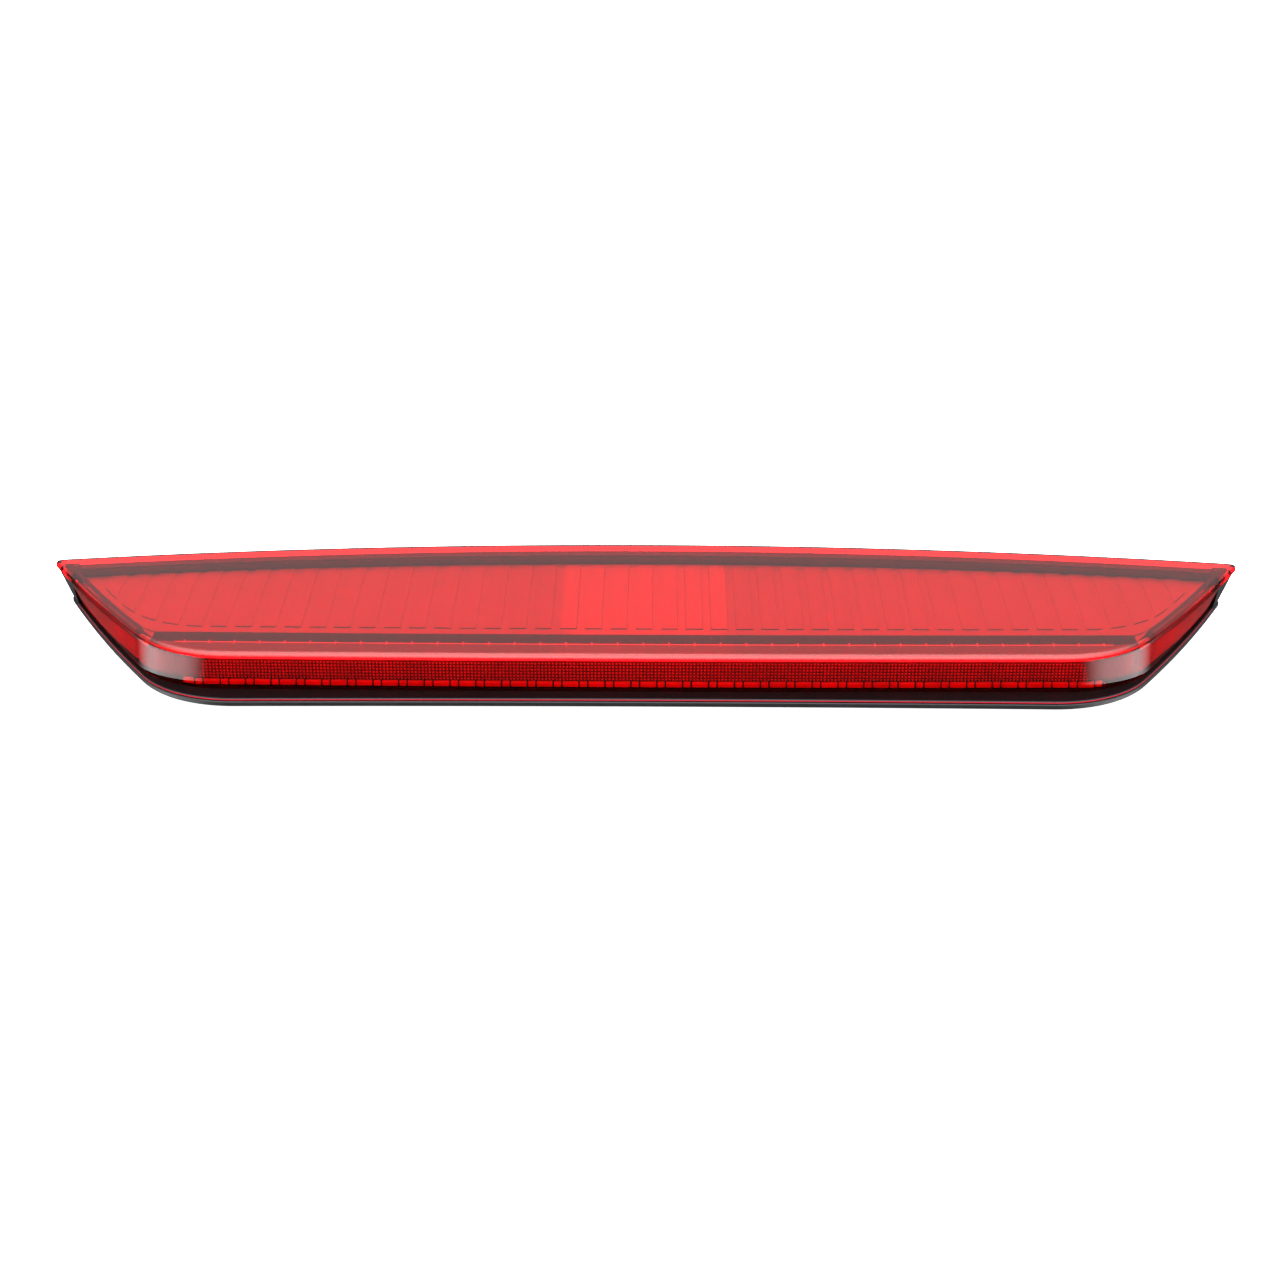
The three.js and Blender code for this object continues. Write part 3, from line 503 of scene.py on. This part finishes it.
def grow(piece, tree, **values):  # runs a tree on the piece with its named inputs, then keeps the result
    step = piece.modifiers.new(tree.name, "NODES")
    step.node_group = tree
    sockets = {item.name: item.identifier for item in tree.interface.items_tree if item.in_out == "INPUT"}
    for key, value in values.items():
        step[sockets[key.replace("_", " ")]] = value
    bake(piece)
    return piece


repeat = repeatTree()
pillows = pillowTree()


def ontoFront(piece):  # a strip laid out flat as (x, distance behind the lens front, z) goes onto the arc
    for v in piece.data.vertices:
        x, behind, z = (c / mm for c in v.co)
        v.co = Vector((x, frontArcY(x, behind), z - crownAt(x))) * mm
    return piece


def crowned(piece):  # a piece laid out flat bends down along X with the crown
    for v in piece.data.vertices:
        v.co.z -= crownAt(v.co.x / mm) * mm
    return piece


def joined(name, pieces):
    bm = bmesh.new()
    mesh = bpy.data.meshes.new(name)
    for holder in pieces[0].data.materials:
        mesh.materials.append(holder)
    for piece in pieces:
        bm.from_mesh(piece.data)
        bpy.data.objects.remove(piece)
    bm.to_mesh(mesh)
    bm.free()
    result = bpy.data.objects.new(name, mesh)
    bpy.context.scene.collection.objects.link(result)
    smooth(result, 35)
    return result


posts = {"from": 192, "gap": 0.3, "inset": 0.4}  # black corner posts beyond this x


def endRooms(start, top):  # the space beyond this x at both ends, up to a height
    sides = ((-start - 20, -start), (start, start + 20))
    return crowned(joined("rooms", [block("room", x0, x1, -100, 100, -20, top) for x0, x1 in sides]))


lens = {"wall": 2.2, "shoulder": 2.0, "backEdge": 0.5, "lip": 0.25, "shoulderSteps": 10}


def outerLens():
    steps = lens["shoulderSteps"]
    turns = [math.pi / 2 * i / steps for i in range(steps + 1)]
    shoulder = [(stack["plateTop"] - lens["shoulder"] * (1 - math.sin(t)), lensPlan,
                 lens["shoulder"] * (1 - math.cos(t)), lens["backEdge"] * (1 - math.cos(t))) for t in turns]
    lip = lens["lip"]
    body = planSolid("outerLens", [
        (stack["flangeBottom"], rimPlan, lip, lip),
        (stack["flangeBottom"] + lip, rimPlan, 0, 0),
        (stack["flangeTop"] - lip, rimPlan, 0, 0),
        (stack["flangeTop"], rimPlan, lip, 0),
        (stack["flangeTop"], footPlan, 0, 0),
        (stack["plateBottom"], lensPlan, 0, lensPlan["backY"] - footPlan["backY"]),
        (stack["plateBottom"], lensPlan, 0, 0)] + shoulder + [
        (stack["plateTop"], lensPlan, lens["shoulder"] + 1.2, lens["backEdge"] + 1.2)])
    past = -12  # the hollow runs out past the back
    hollow = planSolid("hollow", [
        (stack["flangeBottom"] - 1, footPlan, lens["wall"], past),
        (stack["flangeTop"], footPlan, lens["wall"], past),
        (stack["plateBottom"] - 0.9, lensPlan, lens["wall"], past),
        (stack["plateBottom"] - 0.85, lensPlan, lens["wall"], past),
        (stack["plateBottom"] - 0.4, lensPlan, lens["wall"] + 0.25, past),
        (stack["plateBottom"], lensPlan, lens["wall"] + 1.2, past),
        (stack["plateBottom"], lensPlan, lens["wall"] + 2.4, past)])
    boolean(body, hollow, "DIFFERENCE")
    boolean(body, endRooms(posts["from"], stack["plateBottom"] - 0.02), "DIFFERENCE")
    smooth(body, 30)
    dress(body, "red_lens", "outer_lens")
    for extra in (flangeShadeBand, satinEdge, flangeLip):
        body.data.materials.append(extra)
    # The flange top takes the black band of painted shade, its rounded upper lip the gloss black with its
    # painted reflection cast, and its outer edge the satin red.
    for face in body.data.polygons:
        z = face.center.z / mm + crownAt(face.center.x / mm)
        onFlange = stack["flangeBottom"] - 0.01 < z < stack["flangeTop"] + 0.02
        if onFlange and face.normal.z > 0.95:
            face.material_index = 1
        elif onFlange and face.normal.z > 0.3 and face.normal.y < 0:
            face.material_index = 3
        elif onFlange and abs(face.normal.z) < 0.3 and face.normal.y < 0.2:
            face.material_index = 2
    return body


tray = {
    "rearFace": -0.2, "rearWall": 2.0, "ribInset": 3.1, "ribThick": 1.4, "ledgeLip": 1.2,
    "ledgeWidth": 4.4, "frontRibTop": 5.7, "padRadius": 7, "bossRadius": 8, "bossTop": 5.75,
    "screwHoleR": 1.4, "screwHoleFrom": 3.3, "screwHoleTo": 12, "screwBehind": 27,
    "studHead": 5.3, "studHole": 2.8, "studHeadBottom": 3.35,
    "neck": (17.6, 7.6, 20), "vent": (-96, 12, 2.0),
    "underPitch": 22.0, "underCount": 15, "underThick": 1.2, "underDrop": 1.6,
    "underFront": -24, "underBack": 28,
}
ribCut = {"half": 176, "steps": 60, "front": -12, "back": 20, "top": 30}  # lowers the tray's front wall
studPlaces = {
    "stud_inner_left": (-62, -8), "stud_inner_right": (62, -8),
    "stud_outer_left": (-140, 20), "stud_outer_right": (140, 20),
}
screwXs = (-136, -68, 0, 68, 136)
postPlaces = ((-60, 24), (60, 24), (-118, 18), (118, 18), (-160, -10), (160, -10))


def housingTray():
    floorTop, floorBottom = stack["rimTop"], stack["rimBottom"]
    lip = 0.25
    floorPiece = planSolid("housingTray", [
        (floorBottom, rimPlan, lip, lip), (floorBottom + lip, rimPlan, 0, 0),
        (floorTop - lip, rimPlan, 0, 0), (floorTop, rimPlan, lip, lip)])
    outside, inside = tray["ribInset"], tray["ribInset"] + tray["ribThick"]
    rear = tray["rearFace"]
    tub = planSolid("tub", [
        (floorTop - 1, footPlan, outside - 0.3, rearShelf + rear),
        (floorTop, footPlan, outside - 0.3, rearShelf + rear),
        (stack["ledgeTop"], lensPlan, outside, overhang + rear)])
    rear += tray["rearWall"]
    hollow = planSolid("tubHollow", [
        (floorTop - 0.5, footPlan, inside - 0.3, rearShelf + rear),
        (floorTop, footPlan, inside - 0.3, rearShelf + rear),
        (stack["ledgeTop"] + 1, lensPlan, inside, overhang + rear)])
    boolean(tub, hollow, "DIFFERENCE")
    ribTop = tray["frontRibTop"]
    # The exact solver empties the tub for some reaches of this cut, so look at the rear wall after a change.
    boolean(tub, frontStrip("frontCut", ribCut["half"], ribCut["steps"], [
        (ribCut["front"], ribTop), (ribCut["back"], ribTop),
        (ribCut["back"], ribCut["top"]), (ribCut["front"], ribCut["top"])]), "DIFFERENCE")
    ledge = slab("ledge", lensPlan, outside + 0.3, overhang - tray["ledgeLip"], stack["ledgeBottom"],
                 stack["ledgeTop"] - 0.1)
    beyond = slab("ledgeInside", lensPlan, -10, overhang + tray["ledgeWidth"],
                  stack["ledgeBottom"] - 1, stack["ledgeTop"] + 1)
    boolean(ledge, beyond, "DIFFERENCE")
    boolean(floorPiece, tub, "UNION")
    boolean(floorPiece, ledge, "UNION")
    boolean(floorPiece, cylinder("pad", tray["padRadius"], 0, floorTop - 0.5, 0, 0), "UNION")
    for x, y in studPlaces.values():
        boolean(floorPiece, cylinder("boss", tray["bossRadius"], -crownAt(x), tray["bossTop"], x, y), "UNION")
    for x in screwXs:
        screwY = frontArcY(x, 27)
        post = cylinder("screwPost", 3.2, floorBottom + 0.5 - crownAt(x), 6.3 - crownAt(x), x, screwY)
        boolean(floorPiece, post, "UNION")
    for x, y in postPlaces:
        post = cylinder("post", 2.2, floorBottom + 0.5 - crownAt(x), 10.7 - crownAt(x), x, y)
        boolean(floorPiece, post, "UNION")
    corner = planSolid("cornerPosts", [
        (floorTop - 0.6, rimPlan, posts["inset"], posts["inset"]),
        (floorTop, rimPlan, posts["inset"], posts["inset"]),
        (stack["plateBottom"] - posts["gap"], lensPlan, posts["inset"], overhang / 2)])
    boolean(corner, endRooms(posts["from"] + posts["gap"], 40), "INTERSECT")
    boolean(floorPiece, corner, "UNION")
    for x, y in studPlaces.values():
        boolean(floorPiece, cylinder("hole", tray["studHole"], -crownAt(x) - 1, 7, x, y), "DIFFERENCE")
        boolean(floorPiece, cylinder("seat", tray["studHead"], tray["studHeadBottom"], 7, x, y), "DIFFERENCE")
    for x in screwXs:
        hole = cylinder("screwHole", tray["screwHoleR"], tray["screwHoleFrom"] - crownAt(x),
                        tray["screwHoleTo"], x, frontArcY(x, tray["screwBehind"]))
        boolean(floorPiece, hole, "DIFFERENCE")
    groove = slab("groove", footPlan, 0.3, 2.2, floorTop - 0.9, floorTop + 1)
    boolean(groove, slab("grooveInside", footPlan, 1.9, -20, floorTop - 2, floorTop + 2), "DIFFERENCE")
    boolean(floorPiece, groove, "DIFFERENCE")
    wide, deep, y = tray["neck"]
    neck = block("neckHole", -wide / 2, wide / 2, y - deep / 2, y + deep / 2, 0, floorTop + 1)
    boolean(floorPiece, neck, "DIFFERENCE")
    ventX, ventY, ventR = tray["vent"]
    vent = cylinder("ventHole", ventR, floorBottom - 6, floorTop + 1, ventX, ventY)
    boolean(floorPiece, vent, "DIFFERENCE")
    smooth(floorPiece, 35)
    return dress(floorPiece, "black_housing", "housing")


def undersideRibs():  # stiffening ribs between the gasket and the stud bosses
    floorBottom = stack["rimBottom"]
    half = tray["underThick"] / 2
    rib = block("undersideRibs", -half, half, tray["underFront"], tray["underBack"],
                floorBottom - tray["underDrop"], floorBottom + 0.4)
    bevel(rib, 0.25)
    grow(rib, repeat, Count=tray["underCount"], Pitch=tray["underPitch"] * mm,
         Finish=finishes["black_housing"], Wall_finish=finishes["black_housing"])
    crowned(rib)
    smooth(rib, 35)
    return attach(rib, "black_housing")


mirror = {
    "inset": 5.1, "bottom": 11, "top": 12.4, "backInset": 7.0, "slotBehind": 18.4, "step": 0.35,
    "padHalf": 2.6, "padRise": 0.34, "padFront": -12.9, "padDraft": 0.5, "padSide": 8.5, "padBack": 7.4,
}
# Outlines inside the lens outline, with rounder corners: the step round the field, and the ends of the pads.
stepPlan = dict(lensPlan, frontY=-28.0, cornerR=50)
padPlan = dict(lensPlan, frontY=mirror["padFront"] - mirror["padSide"], cornerR=48)


def reflectorPanel():
    top, step = mirror["top"], mirror["step"]
    panel = planSolid("reflectorPanel", [
        (mirror["bottom"], lensPlan, mirror["inset"] + 0.6, mirror["backInset"]),
        (top - step, lensPlan, mirror["inset"], mirror["backInset"])])
    slot = frontStrip("slot", arrayHalf + 7.5, 80, [
        (-5, mirror["bottom"] - 2), (mirror["slotBehind"], mirror["bottom"] - 2),
        (mirror["slotBehind"], top + 2), (-5, top + 2)])
    boolean(panel, slot, "DIFFERENCE")
    smooth(panel, 35)
    return dress(panel, "metallised_reflector", "reflector")


def reflectorField():  # the raised field that carries the pads
    top, step = mirror["top"], mirror["step"]
    field = planSolid("reflectorField", [
        (top - step - 0.3, stepPlan, 6.0, mirror["backInset"] + 0.2),
        (top, stepPlan, 6.2, mirror["backInset"] + 0.2)])
    field.data.materials.append(finishes["metallised_reflector"])
    field.data.materials.append(thinMetalAndShade)
    # Steep walls of the field take the darker metal: thinner coating and painted shade.
    for face in field.data.polygons:
        face.material_index = 0 if face.normal.z > 0.5 else 1
    return attach(field, "metallised_reflector")


def padRow(first, last, left, right):  # pads from one cell to another, with a draft on the walls that show
    half, back = mirror["padHalf"], 36
    low, high = mirror["top"] - 0.2, mirror["top"] + mirror["padRise"]
    front, draft = mirror["padFront"], mirror["padDraft"]
    verts = [(-half - left, front - draft / 4, low), (half + right, front - draft / 4, low),
             (half + right, back, low), (-half - left, back, low),
             (-half, front, high), (half, front, high), (half, back, high), (-half, back, high)]
    faces = [(0, 3, 2, 1), (4, 5, 6, 7), (0, 1, 5, 4), (2, 3, 7, 6), (0, 4, 7, 3), (1, 2, 6, 5)]
    pads = newPiece("reflectorPads", verts, faces)
    grow(pads, repeat, Count=last - first + 1, Pitch=cell["pitch"] * mm,
         Finish=finishes["metallised_reflector"], Wall_finish=padWall)
    for v in pads.data.vertices:
        v.co.x += (first + last) / 2 * cell["pitch"] * mm
    return pads


def reflectorPads():  # raised steps of the reflector, cut to the field at the corners
    draft = mirror["padDraft"]
    rows = [padRow(-22, 1, 0, draft), padRow(2, 11, draft, draft), padRow(12, 22, draft, 0)]
    pads = crowned(joined("reflectorPads", rows))
    top = mirror["top"]
    room = planSolid("padRoom", [
        (top - 2, padPlan, mirror["padSide"], mirror["padBack"]),
        (top + 2, padPlan, mirror["padSide"] + 1, mirror["padBack"])])
    room.data.materials.append(padWall)
    boolean(pads, room, "INTERSECT")
    smooth(pads, 35)
    return attach(pads, "metallised_reflector")


optic = {
    "end": arrayHalf + 6, "front": 2.8, "rear": 10.9, "bottom": 6.1, "blockTop": 8.1, "top": 15.3,
    "edge": 0.5, "dotPitch": 1.1, "dotRows": 6, "dotRise": 0.28, "sheet": 0.7,
    "blockGap": 0.5, "blockSplit": 2.7, "blockDepth": 1.6,
}


def insideWall(piece, inset=2.9):  # keeps what lies inside the lens wall
    room = planSolid("room", [
        (stack["rimTop"] - 2, footPlan, inset, 0), (stack["flangeTop"], footPlan, inset, 0),
        (stack["plateBottom"] + 1, lensPlan, inset, 0)])
    for holder in [used for used in piece.data.materials if used][:1]:
        room.data.materials.append(holder)
    return boolean(piece, room, "INTERSECT")


def opticBar():  # light guide behind the pillow sheet; its top shows through the lens in fine lines
    front, rear, edge = optic["front"] + optic["sheet"] + optic["dotRise"] + 0.1, optic["rear"], optic["edge"]
    bar = frontStrip("opticBar", optic["end"], 148, [
        (front + 1.6, optic["bottom"]), (rear, optic["bottom"]), (rear, optic["top"]),
        (front + edge, optic["top"]), (front, optic["top"] - edge),
        (front, optic["blockTop"] + 0.2), (front + 1.6, optic["blockTop"] - 0.2)])
    insideWall(bar)
    smooth(bar, 35)
    bar.data.materials.clear()
    bar.data.materials.append(etched)
    bar.data.materials.append(darkOptic)
    # Top faces take the lighter etched copy, and steep faces the darker one as painted shade.
    for face in bar.data.polygons:
        face.material_index = 0 if face.normal.z > 0.5 else 1
    return attach(bar, "clear_optic", "optic_bar")


def closeSheet(piece, thickness):  # gives an open flat-edged sheet a back at the given depth
    bm = bmesh.new()
    bm.from_mesh(piece.data)
    rim = [e for e in bm.edges if e.is_boundary]
    grown = bmesh.ops.extrude_edge_only(bm, edges=rim)["geom"]
    for v in grown:
        if isinstance(v, bmesh.types.BMVert):
            v.co.z = -thickness * mm
    bmesh.ops.holes_fill(bm, edges=[e for e in bm.edges if e.is_boundary])
    bmesh.ops.recalc_face_normals(bm, faces=bm.faces)
    bm.to_mesh(piece.data)
    bm.free()


def opticPillows():
    low, high = optic["blockTop"] + 0.2, optic["top"] - optic["edge"]
    columns = round(2 * (arrayHalf - 1) / optic["dotPitch"])
    sheet = newPiece("opticPillows", [(0, 0, 0), (1, 0, 0), (0, 1, 0)], [(0, 1, 2)])
    grow(sheet, pillows, Width=2 * (arrayHalf - 1) * mm, Height=(high - low) * mm, Columns=columns,
         Rows=optic["dotRows"], Steps=4, Rise=optic["dotRise"] * mm, Finish=darkOptic, Dot_finish=litDot)
    closeSheet(sheet, optic["sheet"])
    stand = Matrix(((1, 0, 0), (0, 0, -1), (0, 1, 0))).to_4x4()
    middle = Vector((0, optic["front"] + optic["dotRise"], (low + high) / 2)) * mm
    sheet.data.transform(Matrix.Translation(middle) @ stand)
    insideWall(ontoFront(sheet), 2.4)
    smooth(sheet, 60)
    return attach(sheet, "clear_optic")


def opticBlocks():  # the row of bright prisms under the pillow sheet, a wide and a narrow one in each cell
    half, gap, split = cell["pitch"] / 2, optic["blockGap"], optic["blockSplit"]
    front = optic["front"]
    back, top = front + optic["blockDepth"], optic["blockTop"] - 0.1
    prisms = [block("prism", x0, x1, front, back, optic["bottom"], top)
              for x0, x1 in ((-half + gap, -half + split), (-half + split + gap, half))]
    prism = bevel(joined("opticBlocks", prisms), 0.2)
    grow(prism, repeat, Count=cell["count"], Pitch=cell["pitch"] * mm,
         Finish=brightPrism, Wall_finish=brightPrism)
    insideWall(ontoFront(prism), 2.4)
    smooth(prism, 35)
    return attach(prism, "clear_optic")


def guideEdge():  # pale line where the light guide ends and a pale pip at each cell: painted highlights on the guide's rear edge
    rear, top = optic["rear"], optic["top"]
    line = frontStrip("guideEdge", arrayHalf - 1, 148, [
        (rear - 0.5, top + 0.02), (rear, top + 0.02), (rear, top + 0.12), (rear - 0.5, top + 0.12)])
    pip = block("pip", -0.22, 0.22, rear - 1.2, rear + 0.9, top + 0.02, top + 0.2)
    grow(pip, repeat, Count=cell["count"], Pitch=cell["pitch"] * mm,
         Finish=brightPrism, Wall_finish=brightPrism)
    ontoFront(pip)
    line.data.materials.append(brightPrism)
    edge = joined("guideEdge", [line, pip])
    return attach(edge, "clear_optic")


shade = {"front": 11.2, "rear": 18.0, "leg": 1.2, "thick": 1.0, "top": 15.3, "foot": 8.1}


def lightShield():
    front, rear, leg, top = shade["front"], shade["rear"], shade["leg"], shade["top"]
    under = top - shade["thick"]
    guard = frontStrip("lightShield", optic["end"] + 0.8, 148, [
        (front, under), (rear - leg, under), (rear - leg, shade["foot"]), (rear, shade["foot"]),
        (rear, top - 0.3), (rear - 0.3, top), (front + 0.2, top), (front, top - 0.2)])
    insideWall(guard)
    return dress(guard, "black_shield", "light_shield")


foam = {"outer": 8, "inner": 12, "bottom": -0.6, "top": 2.85, "round": 0.5}


def foamGasket():
    r = foam["round"]
    ring = planSolid("foamGasket", [
        (foam["bottom"], rimPlan, foam["outer"] + r, foam["outer"] / 2 + r),
        (foam["bottom"] + r, rimPlan, foam["outer"], foam["outer"] / 2),
        (foam["top"], rimPlan, foam["outer"], foam["outer"] / 2)])
    inside = foam["inner"] - foam["outer"] / 2
    hollow = planSolid("gasketHole", [
        (foam["bottom"] - 1, rimPlan, foam["inner"] - r, inside - r),
        (foam["bottom"], rimPlan, foam["inner"] - r, inside - r),
        (foam["bottom"] + r, rimPlan, foam["inner"], inside),
        (foam["top"] + 1, rimPlan, foam["inner"], inside)])
    boolean(ring, hollow, "DIFFERENCE")
    smooth(ring, 35)
    return dress(ring, "foam_gasket", "mounting_gasket")


stud = {
    "headR": 5, "headTop": 5.45, "headBottom": 3.45, "shankR": 2.5, "rootR": 2.05, "pitch": 0.8, "tip": -13,
}


def turned(name, profile, sides):  # a closed solid of revolution about Z, (radius, z) from the bottom up
    verts, faces = [(0, 0, profile[0][1]), (0, 0, profile[-1][1])], []
    for radius, z in profile:
        verts += [(radius * math.cos(2 * math.pi * i / sides), radius * math.sin(2 * math.pi * i / sides), z)
                  for i in range(sides)]
    for i in range(sides):
        j = (i + 1) % sides
        for ring in range(len(profile) - 1):
            low = 2 + ring * sides
            faces.append((low + i, low + j, low + sides + j, low + sides + i))
        last = 2 + (len(profile) - 1) * sides
        faces += [(0, 2 + j, 2 + i), (1, last + i, last + j)]
    return newPiece(name, verts, faces)


def weldStud(node, x, y):  # rolled M5 thread below the seat, flat round head above it
    profile = [(stud["rootR"] - 0.5, stud["tip"]), (stud["rootR"], stud["tip"] + 0.5)]
    z = stud["tip"] + 0.7
    while z < -4.5:
        profile += [(stud["rootR"], z), (stud["shankR"], z + 0.3 * stud["pitch"]),
                    (stud["shankR"], z + 0.5 * stud["pitch"])]
        z += stud["pitch"]
    head, top = stud["headR"], stud["headTop"]
    profile += [(stud["rootR"], z), (stud["shankR"], z + 0.4), (stud["shankR"], stud["headBottom"]),
                (head - 0.2, stud["headBottom"]), (head, stud["headBottom"] + 0.2), (head, top - 0.5),
                (head - 0.2, top - 0.15), (head - 0.5, top)]
    piece = turned(node + "_threaded", profile, 40)
    for v in piece.data.vertices:
        v.co += Vector((x, y, 0)) * mm
    return dress(piece, "zinc_steel", node)


def softened(node, width):  # a copy of a CAD node with its edges rounded
    source = frame["nodes"][node]
    piece = bpy.data.objects.new(node + "_rounded", source.data.copy())
    bpy.context.scene.collection.objects.link(piece)
    tidyMesh(piece)
    bm = bmesh.new()
    bm.from_mesh(piece.data)
    bmesh.ops.dissolve_limit(bm, angle_limit=math.radians(1), verts=bm.verts, edges=bm.edges)
    bm.to_mesh(piece.data)
    bm.free()
    bevel(piece, width)
    return dress(piece, slotOf[node], node)


outerLens()
print("lens made")
housingTray()
undersideRibs()
print("housing made")
reflectorPanel()
reflectorField()
reflectorPads()
print("reflector made")
opticBar()
opticPillows()
opticBlocks()
guideEdge()
lightShield()
print("optic made")
foamGasket()
for studName, (studX, studY) in studPlaces.items():
    weldStud(studName, studX, studY)
softened("connector_socket", 0.3)
softened("vent_cap", 0.2)
print("gasket, studs, socket and vent made")

view = {"place": (0.005, -0.70625, 0.356), "down": 26.5, "turn": 0.51, "lens": 67.98}


def addCamera():
    data = bpy.data.cameras.new("camera")
    data.lens = view["lens"]
    data.sensor_width = 36
    data.clip_start = 0.01
    camera = bpy.data.objects.new("camera", data)
    camera.location = view["place"]
    camera.rotation_euler = (math.radians(90 - view["down"]), 0, math.radians(view["turn"]))
    bpy.context.scene.collection.objects.link(camera)
    bpy.context.scene.camera = camera


studio = {"dim": 0.08, "room": 0.6, "sky": 4.4, "front": 1.6, "box": 4.0, "floor": 1.05, "floorSize": 8.0}


def step01(owner, value, low, high):  # smooth step from 0 at low to 1 at high
    node = addNode(owner, "ShaderNodeMapRange", {"Value": value, "From Min": low, "From Max": high},
                   interpolation_type="SMOOTHSTEP")
    return node.outputs["Result"]


def product(owner, *values):
    total = values[0]
    for value in values[1:]:
        total = addNode(owner, "ShaderNodeMath", {0: total, 1: value}, operation="MULTIPLY").outputs[0]
    return total


def addWorld():  # brightest overhead, dark under the horizon, and a soft box low on each side
    world = bpy.data.worlds.new("room")
    world.use_nodes = True
    world.node_tree.nodes.clear()
    coords = addNode(world, "ShaderNodeTexCoord")
    x, y, z = addNode(world, "ShaderNodeSeparateXYZ", {0: coords.outputs["Generated"]}).outputs
    aside = addNode(world, "ShaderNodeMath", {0: x}, operation="ABSOLUTE").outputs[0]
    behind = step01(world, y, -0.3, 0.1)
    inFront = step01(world, y, 0.1, -0.3)
    glows = [
        product(world, step01(world, z, 0.15, 0.3), behind, studio["room"]),
        product(world, step01(world, z, 0.47, 0.95), studio["sky"]),
        product(world, step01(world, z, 0.38, 0.54), inFront, studio["front"]),
        product(world, step01(world, aside, 0.5, 0.8), step01(world, y, 0.45, 0.0),
                step01(world, z, 0.0, -0.2), step01(world, z, -0.75, -0.5), studio["box"]),
    ]
    total = studio["dim"]
    for glow in glows:
        total = addNode(world, "ShaderNodeMath", {0: total, 1: glow}).outputs[0]
    light = addNode(world, "ShaderNodeBackground", {"Color": (1, 1, 1, 1), "Strength": total})
    addNode(world, "ShaderNodeOutputWorld", {"Surface": light.outputs["Background"]})
    bpy.context.scene.world = world


def addFloor():
    half = studio["floorSize"] / 2 / mm
    z = stud["tip"] - 0.05
    ground = newPiece("floor", [(-half, -half, z), (half, -half, z), (half, half, z), (-half, half, z)],
                      [(0, 1, 2, 3)])
    m = newMaterial("paleStudioFloor")
    coords = addNode(m, "ShaderNodeTexCoord")
    x, y = addNode(m, "ShaderNodeSeparateXYZ", {0: coords.outputs["Object"]}).outputs[:2]
    aside = addNode(m, "ShaderNodeMath", {0: x}, operation="ABSOLUTE").outputs[0]
    behindLamp = product(m, step01(m, aside, 0.22, 0.205), step01(m, y, 0.045, 0.06))
    seenThrough = addNode(m, "ShaderNodeLightPath").outputs["Is Transmission Ray"]
    shaded = product(m, seenThrough, step01(m, behindLamp, 1.0, 0.0), 0.92)  # keeps the lens ends dark
    lit = addNode(m, "ShaderNodeMath", {0: 1.0, 1: shaded}, operation="SUBTRACT").outputs[0]
    shader = addNode(m, "ShaderNodeBsdfPrincipled", {
        "Base Color": fromHex("f4f4f4"), "Roughness": 0.9, "Emission Color": (1, 1, 1, 1),
        "Emission Strength": product(m, lit, studio["floor"])})
    finish(m, shader.outputs["BSDF"])
    ground.data.materials.append(m)
    ground.visible_glossy = False


addCamera()
addWorld()
addFloor()
bpy.context.scene.view_settings.view_transform = "Standard"
print("camera and lights placed")
